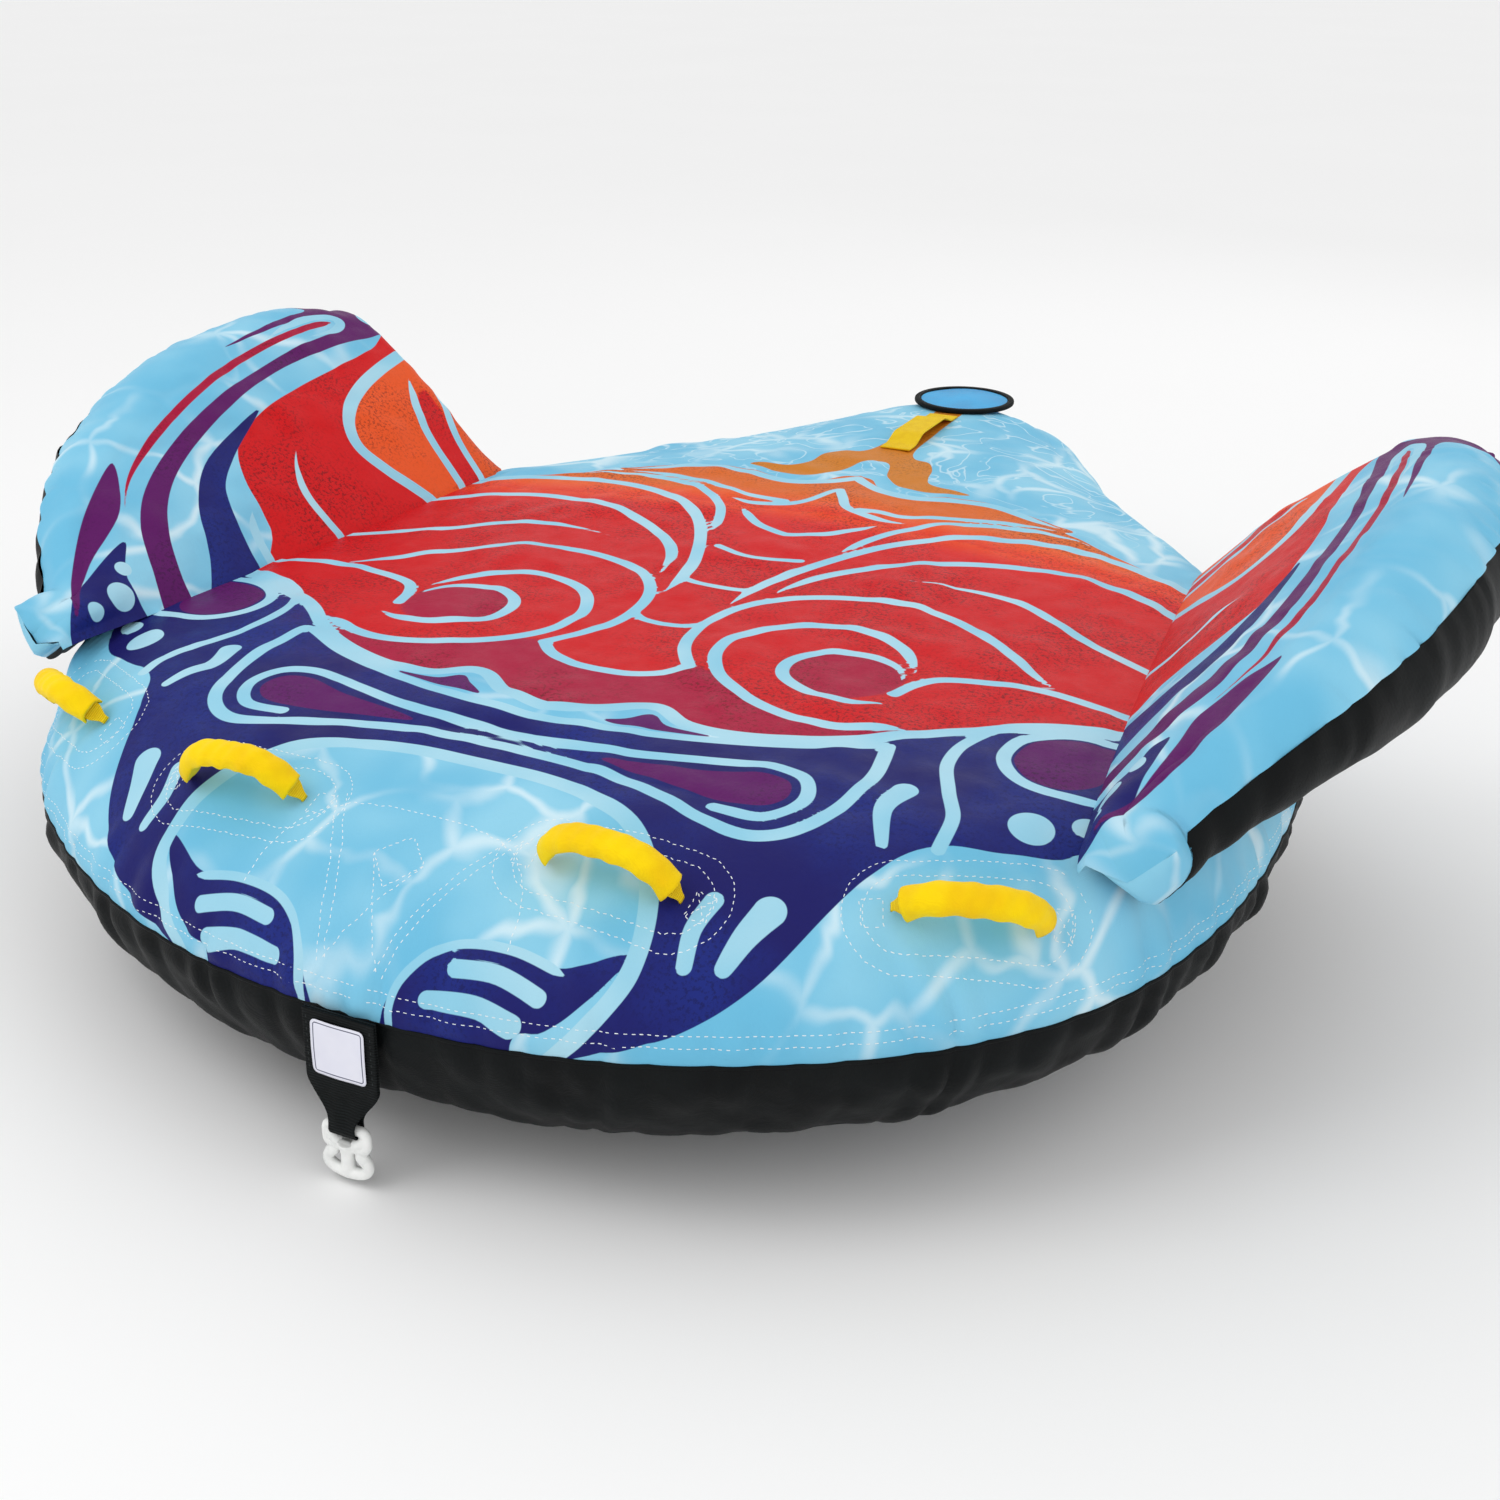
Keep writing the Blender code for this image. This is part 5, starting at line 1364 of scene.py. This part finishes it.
def make_flap():
    """Round flap over the valve: a slightly uneven disc in a bound and stitched edge."""
    lo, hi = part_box("valve_flap_binding")
    centre = (lo + hi) / 2
    radius = 0.5 * (hi.x - lo.x)
    r, angle = np.linspace(0, radius - 0.005, 30)[None, :], circle(120)[:, None]
    dish = 0.0012 * np.cos(3 * r / radius) + 0.0005 * np.sin(4 * angle + 1) * (r / radius) ** 2
    verts, faces = [], []
    for level in (FLAP_HALF_THICK, -FLAP_HALF_THICK):
        faces += grid_faces(*dish.shape, close_rows=True, start=len(verts) * dish.size)
        verts.append(np.stack([r * np.cos(angle), r * np.sin(angle), level + dish], -1) + np.array(centre))
    disc = add_mesh("valve_flap_disc", np.array(verts), faces, DISC)
    merge(disc)
    face_out(disc)
    put(disc, "valve_flap", "blue_flap", "valve_flap")
    c, s = np.cos(circle(24)), np.sin(circle(24))
    ring = np.stack([radius - BINDING_HALF_WIDTH * (1 - np.copysign(np.abs(c) ** 0.7, c)),
                     BINDING_HALF_HEIGHT * np.copysign(np.abs(s) ** 0.6, s)], -1)
    bound = turned("valve_flap_bound_edge", ring, 160, BINDING, centre)
    put(bound, "valve_flap", "black_binding", "valve_flap_binding")
    around = np.linspace(0, 2 * math.pi, 181)
    path = np.stack([np.cos(around), np.sin(around), 0 * around], -1) * (radius - 0.0085)
    path = path + np.array(centre) + (0, 0, 0.0042)
    stitch_rows("valve_flap_stitches", bound, [path], BLACK_THREAD, "valve_flap", "black_binding",
                (0.003, 0.0022, 0.001, 0.0005))


def make_grab_strap(width=0.050, rise=0.012, thickness=0.0026):
    lo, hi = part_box("rear_grab_strap")
    share = np.linspace(0, 1, 90)
    base = lo.z + 0.0015
    y = lo.y + (hi.y - lo.y) * share
    path = np.stack([0 * share, y, base + rise * smooth(np.minimum(share, 1 - share) * 5.0 - 0.5)], -1)
    tilt = 0.05 * np.sin(share * math.pi)
    across = np.stack([np.cos(tilt), 0 * tilt, np.sin(tilt)], -1)
    obj = ribbon("rear_strap_web", path, across, [width] * len(path), thickness, YELLOW_WEB, 20)
    put(obj, "root", "yellow_webbing", "rear_grab_strap")
    runs = [run for end in (lo.y + 0.004, hi.y - 0.026) for run in box_runs(-0.021, end, 0.021, end + 0.022)]
    paths = [with_zero(run) + (0, 0, base + 0.004) for run in runs]
    stitch_rows("rear_strap_stitches", obj, paths, YELLOW_THREAD, "root", "yellow_webbing",
                (0.0032, 0.0016, 0.0011, 0.0006))


TOOTH = [(0, -1, 0), (1, -1, 0), (1, 1, 0), (0, 1, 0),
         (0.1, -0.7, 1), (0.9, -0.7, 1), (0.9, 0.7, 1), (0.1, 0.7, 1)]
TOOTH_FACES = [(0, 1, 2, 3), (4, 5, 6, 7), (0, 1, 5, 4), (1, 2, 6, 5), (2, 3, 7, 6), (3, 0, 4, 7)]
TOOTH_LONG, TOOTH_HALF_WIDE, TOOTH_HIGH, TOOTH_OVERLAP, TOOTH_SHIFT = 0.0042, 0.00055, 0.0016, 0.0006, 0.0008


def make_zip_teeth(count=95, margin=0.008):
    """Two rows of teeth on the zip's tape, on the tail's underside."""
    lo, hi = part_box("zip_tape")
    climb = (hi.z - TOOTH_HIGH - lo.z) / (hi.y - lo.y)
    verts, faces = [], []
    for k in range(count):
        y = lo.y + margin + (hi.y - lo.y - 2 * margin) * k / (count - 1)
        z = lo.z + (y - lo.y) * climb - 0.0002
        for s in (-1, 1):
            faces += [[len(verts) + q for q in f] for f in TOOTH_FACES]
            for dx, dy, dz in TOOTH:
                along = y + TOOTH_SHIFT * s + dy * TOOTH_HALF_WIDE
                verts.append((s * (dx * TOOTH_LONG - TOOTH_OVERLAP), along, z - dz * TOOTH_HIGH))
    obj = add_mesh("zip_teeth", verts, faces, GREY_PLASTIC, False)
    face_out(obj)
    put(obj, "root", "grey_plastic")


# ---- camera, light and floor ----
CAMERA_PLACE = (1.0323, -2.2824, 1.2312)
CAMERA_AZIMUTH, CAMERA_ELEVATION, CAMERA_ROLL = np.radians((26.5, 20.64, 0.144))
CAMERA_LENS, CAMERA_SHIFT = 46.44, (0.0423, -0.0906)
# Each light's place, size and power.
LIGHTS = {"key": ((-1.6, -2.4, 3.6), 2.2, 28.0), "fill": ((3.4, -1.6, 2.2), 3.0, 6.0),
          "rim": ((0.5, 3.6, 2.6), 2.6, 8.0)}
LIGHT_TARGET = Vector((0, 0, 0.25))
WORLD_STRENGTH = 0.92
FLOOR_HALF = 40.0


def make_camera():
    back = Vector((math.sin(CAMERA_AZIMUTH) * math.cos(CAMERA_ELEVATION),
                   -math.cos(CAMERA_AZIMUTH) * math.cos(CAMERA_ELEVATION), math.sin(CAMERA_ELEVATION)))
    right = Vector((math.cos(CAMERA_AZIMUTH), math.sin(CAMERA_AZIMUTH), 0.0))
    turn = Matrix((right, back.cross(right), back)).transposed() @ Matrix.Rotation(CAMERA_ROLL, 3, "Z")
    data = bpy.data.cameras.new("camera")
    data.sensor_width = 36.0
    data.lens = CAMERA_LENS
    data.shift_x, data.shift_y = CAMERA_SHIFT
    data.clip_start = 0.05
    data.clip_end = 200.0
    camera = show("camera", data)
    camera.matrix_world = turn.to_4x4()
    camera.location = CAMERA_PLACE
    bpy.context.scene.camera = camera


def make_stage():
    world = bpy.data.worlds.new("studio")
    bpy.context.scene.world = world
    world.use_nodes = True
    sky = world.node_tree.nodes["Background"].inputs
    sky["Color"].default_value = (1, 1, 1, 1)
    sky["Strength"].default_value = WORLD_STRENGTH
    n = Nodes("pale_floor")
    tone = n.noise(n.place(), 0.8, 2.0)
    pale = n.mix(tone, (0.93, 0.93, 0.93, 1), (0.95, 0.95, 0.95, 1))
    n.shade(Base_Color=pale, Roughness=0.9, Specular_IOR_Level=0.1)
    corners = [(x * FLOOR_HALF, y * FLOOR_HALF, 0) for x, y in ((-1, -1), (1, -1), (1, 1), (-1, 1))]
    add_mesh("floor", corners, [(0, 1, 2, 3)], n.material)
    for name, (place, size, power) in LIGHTS.items():
        data = bpy.data.lights.new(name, "AREA")
        data.size = size
        data.energy = power
        lamp = show(name, data)
        lamp.location = place
        lamp.rotation_euler = (LIGHT_TARGET - Vector(place)).to_track_quat("-Z", "Y").to_euler()
    bpy.context.scene.view_settings.view_transform = "Standard"


def dress_cad_nodes():
    """Materials for the CAD nodes that stay, by how their names start."""
    looks = {"deck_bladder": VINYL, "wing_bladder": VINYL, "deck_valve": GREY_PLASTIC,
             "wing_valve": GREY_PLASTIC, "handle_patch": PATCH, "tow_patch": PATCH, "zip_tape": PATCH,
             "zip_slider": METAL}
    for name, obj in frame["nodes"].items():
        for start, look in looks.items():
            if name.startswith(start):
                obj.data.materials.clear()
                obj.data.materials.append(look)


make_camera()
make_stage()
COVER, PLAN = make_deck_cover()
make_deck_bottom()
for wing_side, wing_word in ((1.0, "right"), (-1.0, "left")):
    make_wing_front(wing_side, wing_word)
    make_wing_back(wing_side, wing_word)
for handle_word, handle_place in HANDLES.items():
    make_handle(handle_word, handle_place)
make_deck_stitches(COVER, PLAN)
make_hem_bead()
make_tow_strap()
make_label()
make_hook()
make_flap()
make_grab_strap()
make_zip_teeth()
dress_cad_nodes()
